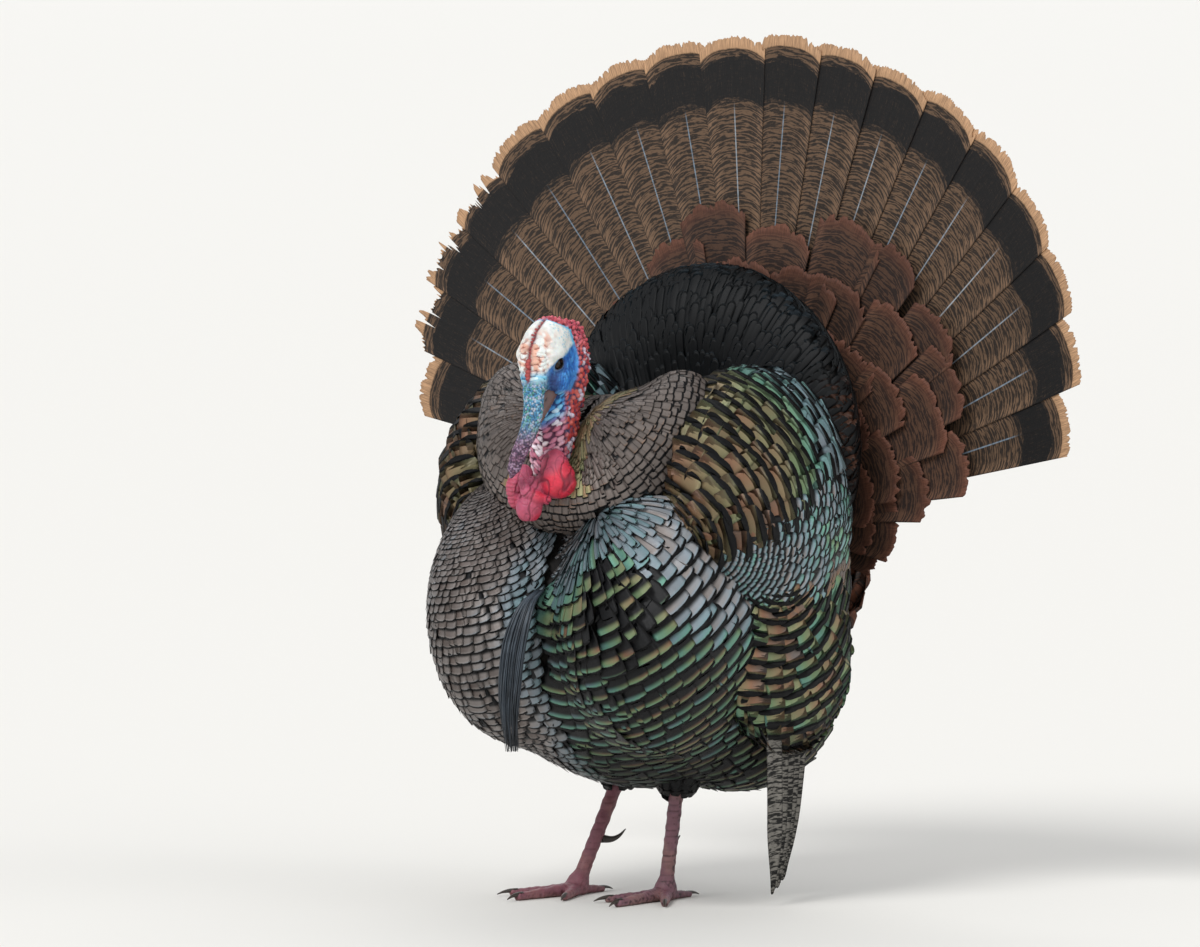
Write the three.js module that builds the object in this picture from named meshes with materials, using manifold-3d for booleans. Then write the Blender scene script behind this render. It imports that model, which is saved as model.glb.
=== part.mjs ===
// Life-size museum model of a wild turkey tom in full strut.
// Millimetres, +Z up.  The bird faces -Y and its left side is +X.
// Shapes are laid out around the root of the tail fan, then the whole bird is
// moved so that the origin lies on the floor under the middle of its box.
import * as THREE from 'three';
import { mergeVertices } from 'three/addons/utils/BufferGeometryUtils.js';
import Module from 'manifold-3d';

const wasm = await Module();
wasm.setup();

// ---- driving sizes, mm ----
const GAP = 0.3;
const BOX_SHIFT = [-3.86, 175.27, 0];

const FAN = {
  rootHeight: 365,
  rootForward: 10,
  count: 18,
  firstAngle: -72.5,
  lastAngle: 73.5,
  baseRadius: 58,
  midRadius: 487,
  sideRadius: 397,
  skew: 5,
  sideAngle: 77,
  sideForward: 30,
  midBack: 8,
  stackPitch: 1.35,
  vaneThick: 0.8,
  shaftThick: 2.6,
  overlap: 1.1,
};

const COVERT = { innerRadius: 50, outerRadius: 320, leftLoss: 120, rightLoss: 200, halfSpan: 96, scallops: 13 };
const HEAD_AT = [0, -342, 18];
const HEAD_TURN = 13;
const EYE = { radius: 6.6, side: 15.6, forward: 12, height: 521 };
const SHANK = { radius: 6.4 };
const FEET = [
  { name: 'left', at: [28, -187], hock: [52, -192, 158], toeOut: 4 },
  { name: 'right', at: [-74, -198], hock: [-52, -132, 160], toeOut: -6 },
];
const TOES = [
  { name: 'inner', angle: -32, length: 62, radius: 6.0 },
  { name: 'middle', angle: 0, length: 84, radius: 6.8 },
  { name: 'outer', angle: 33, length: 66, radius: 6.0 },
  { name: 'hind', angle: 176, length: 38, radius: 5.0 },
];
const PRIMARY = { count: 3, width: 27 };

// ---- slots: colour, roughness, metalness ----
const SLOTS = {
  breast_feather: [0x3b3f3a, 0.45],
  wing_feather: [0x4a5347, 0.45],
  neck_feather: [0x5b5a48, 0.5],
  back_feather: [0x111317, 0.5],
  tail_feather: [0x6a4630, 0.7],
  covert_feather: [0x7a3d22, 0.7],
  quill_feather: [0x8d8678, 0.6],
  head_skin: [0x9fc9e6, 0.5],
  red_skin: [0xc93a4e, 0.4],
  snood_skin: [0x7d8fc4, 0.5],
  eye: [0x1c120c, 0.08],
  bill_horn: [0x7a5b4d, 0.4],
  leg_scale: [0x7c5560, 0.5],
  claw_horn: [0x2a2422, 0.4],
  beard_bristle: [0x1c2530, 0.5],
};

const bird = new THREE.Group();
bird.name = 'wild_turkey';
const materials = {};
for (const [slot, [color, roughness]] of Object.entries(SLOTS)) {
  materials[slot] = new THREE.MeshStandardMaterial({ color, roughness, metalness: 0, name: slot });
}

// ---- solids as functions ----
const radians = (degrees) => (degrees * Math.PI) / 180;
const mix = (a, b, t) => a + (b - a) * t;
const mirrorX = ([x, y, z]) => [-x, y, z];

function lump(at, size, turn = [0, 0, 0]) {
  const euler = new THREE.Euler(...turn.map(radians), 'XYZ');
  const inverse = new THREE.Matrix4().makeRotationFromEuler(euler).invert();
  return { at: new THREE.Vector3(...at), size: new THREE.Vector3(...size), inverse };
}

function pair(at, size, turn = [0, 0, 0]) {
  return [lump(at, size, turn), lump(mirrorX(at), size, [turn[0], -turn[1], -turn[2]])];
}

function lumpDistance(point, { at, size, inverse }) {
  const local = point.clone().sub(at).applyMatrix4(inverse);
  const scaled = local.clone().divide(size);
  const reach = scaled.length();
  const slope = scaled.clone().divide(size).length();
  if (slope < 1e-9) {
    return -Math.min(size.x, size.y, size.z);
  }
  return (reach * (reach - 1)) / slope;
}

// Distance to a soft union of lumps, less a soft union of hollows.
function bodyDistance(point, { lumps, hollows = [], blend }) {
  let total = 0;
  for (const item of lumps) {
    total += Math.exp(-lumpDistance(point, item) / blend);
  }
  const solid = -blend * Math.log(total);
  if (!hollows.length) {
    return solid;
  }
  let empty = 0;
  for (const item of hollows) {
    empty += Math.exp(-lumpDistance(point, item) / blend);
  }
  const outside = blend * Math.log(empty);
  return blend * Math.log(Math.exp(solid / blend) + Math.exp(outside / blend));
}

// A closed mesh whose points lie where rays from the centre leave the body.
function starSolid({ centre, stretch, detail, reach = 400, ...body }) {
  const ball = mergeVertices(positionsOnly(new THREE.IcosahedronGeometry(1, detail)), 1e-5);
  const spots = ball.getAttribute('position');
  const middle = new THREE.Vector3(...centre);
  for (let i = 0; i < spots.count; i += 1) {
    const ray = new THREE.Vector3().fromBufferAttribute(spots, i);
    ray.multiply(new THREE.Vector3(...stretch)).normalize();
    let near = 0;
    let far = 2;
    while (far < reach && bodyDistance(middle.clone().addScaledVector(ray, far), body) < 0) {
      near = far;
      far += 2;
    }
    for (let step = 0; step < 14; step += 1) {
      const half = (near + far) / 2;
      if (bodyDistance(middle.clone().addScaledVector(ray, half), body) < 0) {
        near = half;
      } else {
        far = half;
      }
    }
    const spot = middle.clone().addScaledVector(ray, near);
    spots.setXYZ(i, spot.x, spot.y, spot.z);
  }
  return ball;
}

function positionsOnly(geometry) {
  const bare = new THREE.BufferGeometry();
  bare.setAttribute('position', geometry.getAttribute('position').clone());
  if (geometry.index) {
    bare.setIndex(geometry.index.clone());
  }
  return bare;
}

// A closed tube of ring sections, every ring with the same number of points.
function ringSolid(rings) {
  const around = rings[0].length;
  const points = [];
  const index = [];
  for (const ring of rings) {
    for (const spot of ring) {
      points.push(...spot);
    }
  }
  for (let r = 0; r < rings.length - 1; r += 1) {
    for (let i = 0; i < around; i += 1) {
      const a = r * around + i;
      const b = r * around + ((i + 1) % around);
      index.push(a, b, b + around);
      index.push(a, b + around, a + around);
    }
  }
  const last = (rings.length - 1) * around;
  for (let i = 1; i < around - 1; i += 1) {
    index.push(0, i + 1, i);
    index.push(last, last + i, last + i + 1);
  }
  const geometry = new THREE.BufferGeometry();
  geometry.setAttribute('position', new THREE.Float32BufferAttribute(points, 3));
  geometry.setIndex(index);
  return outward(geometry);
}

function signedVolume(geometry) {
  const spots = geometry.getAttribute('position');
  const index = geometry.index.array;
  const corner = [new THREE.Vector3(), new THREE.Vector3(), new THREE.Vector3()];
  let volume = 0;
  for (let i = 0; i < index.length; i += 3) {
    corner.forEach((spot, k) => spot.fromBufferAttribute(spots, index[i + k]));
    volume += corner[0].dot(corner[1].clone().cross(corner[2])) / 6;
  }
  return volume;
}

function outward(geometry) {
  if (signedVolume(geometry) < 0) {
    const index = geometry.index.array;
    for (let i = 0; i < index.length; i += 3) {
      [index[i + 1], index[i + 2]] = [index[i + 2], index[i + 1]];
    }
  }
  return geometry;
}

// A closed tube along a smooth curve; section(t) gives the half width and half
// depth of its oval section.
function tubeSolid(path, section, steps, around, sideHint = [1, 0, 0]) {
  const curve = new THREE.CatmullRomCurve3(path.map((spot) => new THREE.Vector3(...spot)));
  const hint = new THREE.Vector3(...sideHint);
  const rings = [];
  for (let s = 0; s <= steps; s += 1) {
    const t = s / steps;
    const centre = curve.getPoint(t);
    const along = curve.getTangent(t);
    const side = hint.clone().addScaledVector(along, -hint.dot(along)).normalize();
    const up = new THREE.Vector3().crossVectors(along, side);
    const [wide, deep] = section(t);
    const ring = [];
    for (let i = 0; i < around; i += 1) {
      const turn = (2 * Math.PI * i) / around;
      const spot = centre.clone().addScaledVector(side, wide * Math.cos(turn));
      spot.addScaledVector(up, deep * Math.sin(turn));
      ring.push([spot.x, spot.y, spot.z]);
    }
    rings.push(ring);
  }
  return ringSolid(rings);
}

function inflate(geometry, amount) {
  const wide = mergeVertices(positionsOnly(geometry), 1e-4);
  wide.computeVertexNormals();
  const spots = wide.getAttribute('position');
  const normals = wide.getAttribute('normal');
  for (let i = 0; i < spots.count; i += 1) {
    spots.setXYZ(
      i,
      spots.getX(i) + normals.getX(i) * amount,
      spots.getY(i) + normals.getY(i) * amount,
      spots.getZ(i) + normals.getZ(i) * amount,
    );
  }
  return wide;
}

function toManifold(geometry) {
  const bare = mergeVertices(positionsOnly(geometry), 1e-4);
  return new wasm.Manifold(new wasm.Mesh({
    numProp: 3,
    vertProperties: new Float32Array(bare.getAttribute('position').array),
    triVerts: new Uint32Array(bare.index.array),
  }));
}

function fromManifold(solid) {
  const { vertProperties, triVerts } = solid.getMesh();
  const geometry = new THREE.BufferGeometry();
  geometry.setAttribute('position', new THREE.BufferAttribute(new Float32Array(vertProperties), 3));
  geometry.setIndex([...triVerts]);
  return mergeVertices(geometry, 1e-3);
}

// Only the biggest connected body of a mesh.
function mainBody(geometry) {
  const index = geometry.index.array;
  const parent = Array.from({ length: geometry.getAttribute('position').count }, (_, i) => i);
  const find = (i) => {
    let root = i;
    while (parent[root] !== root) {
      root = parent[root];
    }
    parent[i] = root;
    return root;
  };
  for (let i = 0; i < index.length; i += 3) {
    parent[find(index[i + 1])] = find(index[i]);
    parent[find(index[i + 2])] = find(index[i]);
  }
  const groups = new Map();
  for (let i = 0; i < index.length; i += 3) {
    const root = find(index[i]);
    if (!groups.has(root)) {
      groups.set(root, []);
    }
    groups.get(root).push(index[i], index[i + 1], index[i + 2]);
  }
  let best = null;
  let bestVolume = -1;
  for (const faces of groups.values()) {
    const body = new THREE.BufferGeometry();
    body.setAttribute('position', geometry.getAttribute('position'));
    body.setIndex(faces);
    const volume = Math.abs(signedVolume(body));
    if (volume > bestVolume) {
      bestVolume = volume;
      best = body;
    }
  }
  return mergeVertices(positionsOnly(best), 1e-3);
}

function carve(geometry, others) {
  let solid = toManifold(geometry);
  for (const other of others) {
    solid = solid.subtract(toManifold(inflate(other, GAP)));
  }
  return mainBody(fromManifold(solid));
}

function join(geometries) {
  let solid = toManifold(geometries[0]);
  for (const other of geometries.slice(1)) {
    solid = solid.add(toManifold(other));
  }
  return mainBody(fromManifold(solid));
}

function addPart(name, slot, geometry) {
  const placed = geometry.index ? geometry.toNonIndexed() : geometry.clone();
  placed.translate(...BOX_SHIFT);
  placed.computeVertexNormals();
  const mesh = new THREE.Mesh(placed, materials[slot].clone());
  mesh.name = name;
  bird.add(mesh);
}

// ---- trunk: belly, two breast lobes with a groove between, flanks and rear ----
const trunk = starSolid({
  centre: [0, -185, 262],
  stretch: [1, 1, 0.85],
  detail: 5,
  blend: 7,
  lumps: [
    lump([0, -186, 272], [176, 166, 160]),
    ...pair([81, -264, 292], [91, 117, 137], [-6, 0, 0]),
    ...pair([72, -126, 188], [88, 96, 80]),
    lump([0, -62, 285], [126, 74, 118]),
  ],
});

// ---- wings: shoulder lobe above, dropped wing panel below ----
function wingSolid(side) {
  const place = ([x, y, z]) => [side * x, y, z];
  const spin = ([x, y, z]) => [x, side * y, side * z];
  return starSolid({
    centre: place([150, -175, 345]),
    stretch: [0.7, 1, 1.1],
    detail: 3,
    blend: 8,
    lumps: [
      lump(place([135, -180, 412]), [70, 126, 120], spin([0, -12, 4])),
      lump(place([152, -166, 268]), [38, 92, 114], spin([14, -3, -4])),
      lump(place([138, -108, 345]), [34, 46, 84], spin([24, 0, -8])),
    ],
  });
}
const wingLeftBlob = wingSolid(1);
const wingRightBlob = wingSolid(-1);

// ---- back: erect rump feathers in a dome in front of the fan ----
const backBlob = starSolid({
  centre: [0, -86, 440],
  stretch: [1, 0.4, 1],
  detail: 3,
  blend: 10,
  lumps: [
    lump([0, -84, 440], [186, 52, 184], [-4, 0, 0]),
    lump([0, -128, 400], [140, 64, 110]),
  ],
  hollows: [lump([0, -176, 500], [104, 62, 92])],
});

// ---- head group, built around its own upright axis and then turned ----
const headFrame = new THREE.Matrix4()
  .makeTranslation(...HEAD_AT)
  .multiply(new THREE.Matrix4().makeRotationZ(radians(HEAD_TURN)));
const inHeadFrame = (geometry) => geometry.clone().applyMatrix4(headFrame);

const eyeBalls = [1, -1].map((side) => {
  const ball = positionsOnly(new THREE.IcosahedronGeometry(EYE.radius, 1));
  ball.translate(side * EYE.side, -EYE.forward, EYE.height);
  return mergeVertices(inHeadFrame(ball), 1e-4);
});

const headBlob = inHeadFrame(starSolid({
  centre: [0, 0, 520],
  stretch: [0.8, 1, 1],
  detail: 4,
  blend: 2.6,
  lumps: [
    lump([0, 1, 533], [22, 37, 30], [24, 0, 0]),
    lump([0, 28, 528], [21, 27, 33]),
    ...pair([10, 32, 540], [14, 17, 20]),
    ...pair([13, 34, 518], [15, 15, 28]),
    ...pair([12, 28, 492], [14, 16, 24]),
    lump([0, -17, 521], [16, 21, 24], [20, 0, 0]),
    lump([0, -26, 506], [11, 12, 14], [36, 0, 0]),
    ...pair([13, 0, 508], [12, 18, 18]),
    ...pair([13, -13, 530], [9, 13, 6]),
    ...pair([17.5, 17, 510], [5, 6, 6]),
    lump([0, 16, 488], [18, 27, 24]),
  ],
  hollows: pair([24.5, -13, 521], [6, 9, 6.5]),
}));
const head = carve(headBlob, eyeBalls);

const neckBlob = inHeadFrame(starSolid({
  centre: [0, 9, 430],
  stretch: [0.6, 0.7, 1.5],
  detail: 2,
  blend: 4,
  lumps: [
    lump([0, 16, 472], [19, 27, 30]),
    lump([0, 16, 432], [19, 24, 40]),
    lump([0, 22, 400], [22, 24, 32]),
    ...pair([8, 20, 465], [14, 16, 22]),
    ...pair([6, 12, 440], [13, 15, 18]),
  ],
}));
const neck = carve(neckBlob, [headBlob, trunk]);

// ---- bill: two horn blades that meet along the mouth line ----
const MOUTH = { back: [0, -13, 489], tip: [0, -49, 444] };

function billSolid({ height, halfWidth, reach, sign }) {
  const start = new THREE.Vector3(...MOUTH.back);
  const end = new THREE.Vector3(...MOUTH.tip);
  const along = end.clone().sub(start).normalize();
  const up = along.clone().cross(new THREE.Vector3(1, 0, 0)).multiplyScalar(sign);
  const rings = [];
  for (let s = 0; s <= 5; s += 1) {
    const t = s / 5;
    const centre = start.clone().lerp(end, t * reach);
    centre.addScaledVector(up, GAP / 2);
    const wide = mix(halfWidth, 1.4, t ** 1.5);
    const tall = mix(height, 2, t ** 1.8);
    const ring = [];
    for (let i = 0; i < 8; i += 1) {
      const turn = (Math.PI * i) / 7;
      const spot = centre.clone();
      spot.x += wide * Math.cos(turn);
      spot.addScaledVector(up, tall * Math.sin(turn));
      ring.push([spot.x, spot.y, spot.z]);
    }
    rings.push(ring);
  }
  return ringSolid(rings);
}
const billUpperBlob = inHeadFrame(billSolid({ height: 16, halfWidth: 9.8, reach: 1, sign: 1 }));
const billLowerBlob = inHeadFrame(billSolid({ height: 8, halfWidth: 8.8, reach: 0.92, sign: -1 }));
const billUpper = carve(billUpperBlob, [headBlob, neckBlob]);
const billLower = carve(billLowerBlob, [headBlob, neckBlob]);

// ---- snood: wrinkled finger of skin hanging over the bill ----
const snoodPath = [
  [0, -27, 508], [2, -40, 496], [5, -48, 476], [3, -54, 456], [-5, -55, 436], [-15, -51, 412],
];
const snoodBlob = inHeadFrame(tubeSolid(
  snoodPath,
  (t) => {
    const wrinkle = 1 + 0.07 * Math.cos(t * 58);
    const tip = Math.sqrt(Math.max(0.12, 1 - Math.max(0, (t - 0.86) / 0.14) ** 2));
    return [mix(11.5, 5.2, t) * wrinkle * tip, mix(7.6, 4.6, t) * wrinkle * tip];
  },
  12,
  8,
));
const snood = carve(snoodBlob, [headBlob, billUpperBlob, billLowerBlob, neckBlob]);

// ---- wattles: smooth red lobes in front of the neck ----
const wattleShapes = {
  wattle_left: {
    centre: [17, -13, 412], stretch: [1, 1, 1], detail: 2, blend: 3,
    lumps: [lump([17, -12, 407], [20, 18, 18]), lump([14, -10, 424], [12, 12, 13])],
  },
  wattle_front: {
    centre: [-5, -29, 386], stretch: [1, 1, 1], detail: 2, blend: 3,
    lumps: [lump([-5, -29, 381], [13, 13, 15]), lump([-2, -22, 398], [10, 12, 14])],
  },
  wattle_right: {
    centre: [-22, -22, 399], stretch: [1, 1, 1], detail: 2, blend: 3,
    lumps: [lump([-22, -23, 396], [9, 12, 18]), lump([-17, -16, 408], [10, 12, 14])],
  },
};
const wattleBlobs = {};
const wattles = {};
for (const [name, shape] of Object.entries(wattleShapes)) {
  const blob = inHeadFrame(starSolid(shape));
  const nearby = [neckBlob, headBlob, billLowerBlob, billUpperBlob, snoodBlob, trunk];
  wattles[name] = carve(blob, [...nearby, ...Object.values(wattleBlobs)]);
  wattleBlobs[name] = blob;
}

// ---- collar: puffed neck feathers in a lobe on either side of the neck ----
const collarBlob = starSolid({
  centre: [0, -266, 418],
  stretch: [1.15, 0.9, 0.8],
  detail: 3,
  blend: 8,
  lumps: [
    ...pair([60, -276, 446], [60, 60, 64], [0, 10, 0]),
    ...pair([92, -256, 470], [40, 50, 62], [0, 14, 0]),
    lump([0, -242, 440], [70, 50, 62]),
    lump([0, -292, 406], [96, 54, 42]),
  ],
});
const headNear = [neckBlob, headBlob, billLowerBlob, snoodBlob, ...Object.values(wattleBlobs)];

// ---- wings, collar and back cut to lie on one another ----
const wingLeft = carve(wingLeftBlob, [trunk]);
const wingRight = carve(wingRightBlob, [trunk]);
const collar = carve(collarBlob, [trunk, wingLeftBlob, wingRightBlob, ...headNear]);
const back = carve(backBlob, [trunk, wingLeftBlob, wingRightBlob, collarBlob]);

// ---- tail fan ----
function fanDepth(radius, angle) {
  const side = Math.sin(angle);
  const forward = FAN.sideForward * (radius / FAN.sideRadius) ** 2 * side * side;
  const backward = FAN.midBack * (radius / FAN.midRadius) * Math.cos(angle) ** 2;
  return backward - forward;
}

function fanPoint(radius, angle, depth) {
  return [
    radius * Math.sin(angle),
    fanDepth(radius, angle) + depth - FAN.rootForward,
    FAN.rootHeight + radius * Math.cos(angle),
  ];
}

function tipRadius(angle) {
  const even = mix(FAN.midRadius, FAN.sideRadius, Math.abs(angle / radians(FAN.sideAngle)) ** 6);
  return even + FAN.skew * Math.sin(2 * angle);
}

// One tail feather: a vane that widens outward, with a thick shaft and a
// rounded square tip.  rank 0 is the innermost pair, in front of the others.
function rectrixSolid(angle, rank, pitch) {
  const full = tipRadius(angle);
  const depth = rank * FAN.stackPitch;
  const stations = [0, 0.45, 0.92, 0.978, 1];
  const tipWidth = [1, 1, 1, 0.8, 0.36];
  const rings = stations.map((t, s) => {
    const radius = mix(FAN.baseRadius, full, t);
    const half = (pitch / 2) * FAN.overlap * tipWidth[s];
    const shaft = mix(FAN.shaftThick, FAN.vaneThick, t) / 2;
    const edge = FAN.vaneThick / 2;
    return [
      fanPoint(radius, angle - half, depth - edge),
      fanPoint(radius, angle, depth - shaft),
      fanPoint(radius, angle + half, depth - edge),
      fanPoint(radius, angle + half, depth + edge),
      fanPoint(radius, angle, depth + shaft),
      fanPoint(radius, angle - half, depth + edge),
    ];
  });
  return ringSolid(rings);
}

const fanPitch = radians(FAN.lastAngle - FAN.firstAngle) / (FAN.count - 1);
const rectrices = [];
for (let i = 0; i < FAN.count; i += 1) {
  const rank = Math.abs(i - (FAN.count - 1) / 2) - 0.5;
  const tilt = i >= FAN.count / 2 ? 1 : 0;
  const angle = radians(FAN.firstAngle) + i * fanPitch;
  rectrices.push(rectrixSolid(angle, rank + tilt, fanPitch));
}

// A dished sector plate on the fan, with a scalloped rim.
function sectorSolid({ inner, outer, halfSpan, columns, rows, front, behind, scallops = 0 }) {
  const rings = [];
  const span = radians(halfSpan);
  for (let c = 0; c <= columns; c += 1) {
    const angle = mix(-span, span, c / columns);
    const wave = scallops ? Math.abs(Math.sin((scallops * Math.PI * c) / columns)) : 1;
    const rim = outer(angle) - (scallops ? 15 * (1 - wave) : 0);
    const ring = [];
    for (let r = 0; r <= rows; r += 1) {
      const radius = mix(inner, rim, r / rows);
      ring.push(fanPoint(radius, angle, front(r / rows)));
    }
    for (let r = rows; r >= 0; r -= 1) {
      const radius = mix(inner, rim, r / rows);
      ring.push(fanPoint(radius, angle, behind(r / rows)));
    }
    rings.push(ring);
  }
  return ringSolid(rings);
}

// The uppertail coverts reach further out on the bird's left.
function covertRadius(angle) {
  const turn = Math.abs(angle) / radians(90);
  const loss = angle > 0 ? COVERT.leftLoss * turn ** 4 : COVERT.rightLoss * turn ** 2;
  return COVERT.outerRadius - loss;
}

const fanSlot = sectorSolid({
  inner: FAN.baseRadius - GAP,
  outer: () => 330,
  halfSpan: 83,
  columns: 8,
  rows: 2,
  front: () => -1.6,
  behind: () => FAN.stackPitch * 9 + 2.4,
});
const covertBlob = sectorSolid({
  inner: COVERT.innerRadius,
  outer: covertRadius,
  halfSpan: COVERT.halfSpan,
  columns: 26,
  rows: 2,
  front: (t) => -mix(17, 4, t ** 0.7),
  behind: () => -1.9,
  scallops: COVERT.scallops,
});
const covertSlot = sectorSolid({
  inner: COVERT.innerRadius - GAP,
  outer: () => 330,
  halfSpan: COVERT.halfSpan + 0.4,
  columns: 8,
  rows: 2,
  front: (t) => -mix(19, 9, t),
  behind: () => -1,
});
const bodyNear = [trunk, wingLeftBlob, wingRightBlob, backBlob];
const coverts = carve(covertBlob, bodyNear);

// ---- undertail: fluffy feathers under and behind the root of the fan ----
const undertailBlob = starSolid({
  centre: [0, 12, 330],
  stretch: [1, 0.5, 0.8],
  detail: 2,
  blend: 8,
  lumps: [
    lump([0, 6, 322], [126, 30, 84]),
    lump([0, 24, 356], [92, 26, 96], [-6, 0, 0]),
    lump([0, -6, 262], [96, 38, 62]),
  ],
});
const undertail = carve(undertailBlob, [fanSlot, covertSlot, ...bodyNear]);

// ---- legs and feet ----
function toeSolid(foot, toe) {
  const side = foot.name === 'left' ? 1 : -1;
  const angle = radians(side * toe.angle + foot.toeOut);
  const dir = new THREE.Vector3(Math.sin(angle), -Math.cos(angle), 0);
  const across = new THREE.Vector3(Math.cos(angle), Math.sin(angle), 0);
  const rings = [];
  for (let s = 0; s <= 3; s += 1) {
    const t = s / 3;
    const centre = new THREE.Vector3(foot.at[0], foot.at[1], 0).addScaledVector(dir, t * toe.length);
    const wide = mix(toe.radius * 1.1, toe.radius * 0.62, t);
    const tall = mix(toe.radius * 2.3, toe.radius * 1.15, t ** 0.7);
    const sole = wide * 0.62;
    const outline = [
      [-sole, 0], [sole, 0], [wide, tall * 0.36],
      [wide * 0.5, tall], [-wide * 0.5, tall], [-wide, tall * 0.36],
    ];
    rings.push(outline.map(([u, z]) => {
      const spot = centre.clone().addScaledVector(across, u);
      return [spot.x, spot.y, z];
    }));
  }
  return ringSolid(rings);
}

function clawSolid(foot, toe) {
  const side = foot.name === 'left' ? 1 : -1;
  const angle = radians(side * toe.angle + foot.toeOut);
  const dir = [Math.sin(angle), -Math.cos(angle)];
  const thick = toe.radius * 0.5;
  const path = [[-3, 1.35], [5, 1.55], [11, 1.25], [16, 0.62]].map(([ahead, high]) => {
    const reach = toe.length + ahead;
    return [foot.at[0] + dir[0] * reach, foot.at[1] + dir[1] * reach, thick * high + 0.4];
  });
  const hint = [Math.cos(angle), Math.sin(angle), 0];
  return tubeSolid(path, (t) => [mix(thick * 0.8, 0.45, t), mix(thick, 0.45, t)], 3, 5, hint);
}

function shankSolid(foot) {
  const [x, y] = foot.at;
  const top = foot.hock;
  const knee = [mix(x, top[0], 0.5), mix(y, top[1], 0.5), mix(0, top[2], 0.52)];
  const path = [[x, y, 9], [mix(x, knee[0], 0.3), mix(y, knee[1], 0.3), 32], knee, top];
  const swell = (t) => SHANK.radius * (1 + 0.35 * Math.max(0, 1 - t * 5) + 0.3 * t ** 6);
  return tubeSolid(path, (t) => [swell(t), swell(t) * 1.15], 6, 8);
}

const legParts = [];
for (const foot of FEET) {
  const toes = TOES.map((toe) => toeSolid(foot, toe));
  const ankle = positionsOnly(new THREE.IcosahedronGeometry(11.5, 0));
  ankle.translate(foot.at[0], foot.at[1], 11);
  const footBlob = join([...toes, mergeVertices(ankle, 1e-4)]);
  const shankBlob = shankSolid(foot);
  const side = foot.name === 'left' ? 1 : -1;
  const spurAt = foot.hock.map((v, i) => mix([...foot.at, 0][i], v, 0.34));
  const spurPath = [
    [spurAt[0] - side * 3, spurAt[1] + 3, spurAt[2]],
    [spurAt[0] - side * 8, spurAt[1] + 12, spurAt[2] - 1],
    [spurAt[0] - side * 11, spurAt[1] + 21, spurAt[2] + 2],
    [spurAt[0] - side * 12, spurAt[1] + 30, spurAt[2] + 8],
  ];
  const spurBlob = tubeSolid(spurPath, (t) => [mix(4.2, 0.5, t), mix(4.6, 0.5, t)], 4, 6, [0, 0, 1]);
  const thighBlob = starSolid({
    centre: [foot.hock[0], foot.hock[1], 165],
    stretch: [0.8, 1, 1],
    detail: 2,
    blend: 6,
    lumps: [
      lump([foot.hock[0], foot.hock[1] + 2, 168], [36, 44, 52]),
      lump([mix(foot.hock[0], foot.at[0], 0.3), mix(foot.hock[1], foot.at[1], 0.3), 128], [18, 21, 30]),
    ],
  });
  const footSolid = carve(footBlob, [shankBlob]);
  legParts.push([`thigh_${foot.name}`, 'breast_feather', carve(thighBlob, [trunk, shankBlob])]);
  legParts.push([`shank_${foot.name}`, 'leg_scale', carve(shankBlob, [trunk])]);
  legParts.push([`spur_${foot.name}`, 'claw_horn', carve(spurBlob, [shankBlob])]);
  legParts.push([`foot_${foot.name}`, 'leg_scale', footSolid]);
  for (const toe of TOES) {
    const claw = carve(clawSolid(foot, toe), [footBlob]);
    legParts.push([`claw_${toe.name}_${foot.name}`, 'claw_horn', claw]);
  }
}

// ---- drooping primaries below each wing ----
// The left ones reach the floor; the right ones lie back along the flank.
function droppedPrimary(i) {
  const root = [168 - 5 * i, -200 + 34 * i, 212 + 8 * i];
  const fall = new THREE.Vector3(-0.04 - 0.03 * i, 0.14 - 0.05 * i, -1).normalize();
  const across = new THREE.Vector3(0.25, 1, 0.1).normalize();
  return { root, fall, across, length: (root[2] - 7) / -fall.z, bow: -12 };
}

function foldedPrimary(i) {
  const root = [-165 + 6 * i, -124, 226 - 16 * i];
  const fall = new THREE.Vector3(0.3, 0.88, -0.34).normalize();
  const across = new THREE.Vector3(0.12, 0.3, 1).normalize();
  return { root, fall, across, length: 176 - 10 * i, bow: 6 };
}

function primarySolid(side, i) {
  const { root: rootAt, fall, across, length, bow: bend } = side > 0 ? droppedPrimary(i) : foldedPrimary(i);
  const flat = new THREE.Vector3().crossVectors(fall, across).normalize();
  const widths = [0.6, 1, 0.85, 0.22];
  const stations = [0, 0.5, 0.9, 1];
  const rings = stations.map((t, s) => {
    const bow = bend * t * t;
    const centre = new THREE.Vector3(...rootAt).addScaledVector(fall, length * t);
    centre.addScaledVector(new THREE.Vector3(1, 0, 0), bow);
    const half = (PRIMARY.width / 2) * widths[s];
    const shaft = mix(1.8, 0.7, t);
    const outline = [
      [-half, -0.45], [-half * 0.2, -shaft], [half, -0.45],
      [half, 0.45], [-half * 0.2, shaft], [-half, 0.45],
    ];
    return outline.map(([u, v]) => {
      const spot = centre.clone().addScaledVector(across, u).addScaledVector(flat, v);
      return [spot.x, spot.y, spot.z];
    });
  });
  return ringSolid(rings);
}

// ---- beard: a hanging brush of bristles from the breast groove ----
const beardPath = [[0, -352, 316], [0, -374, 302], [-2, -389, 262], [-4, -393, 206], [-6, -391, 160]];
const beardBlob = tubeSolid(
  beardPath,
  (t) => [mix(6, 12.5, t ** 0.5) * (t > 0.9 ? mix(1, 0.6, (t - 0.9) * 10) : 1), mix(5, 7.5, t)],
  9,
  8,
);

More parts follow.
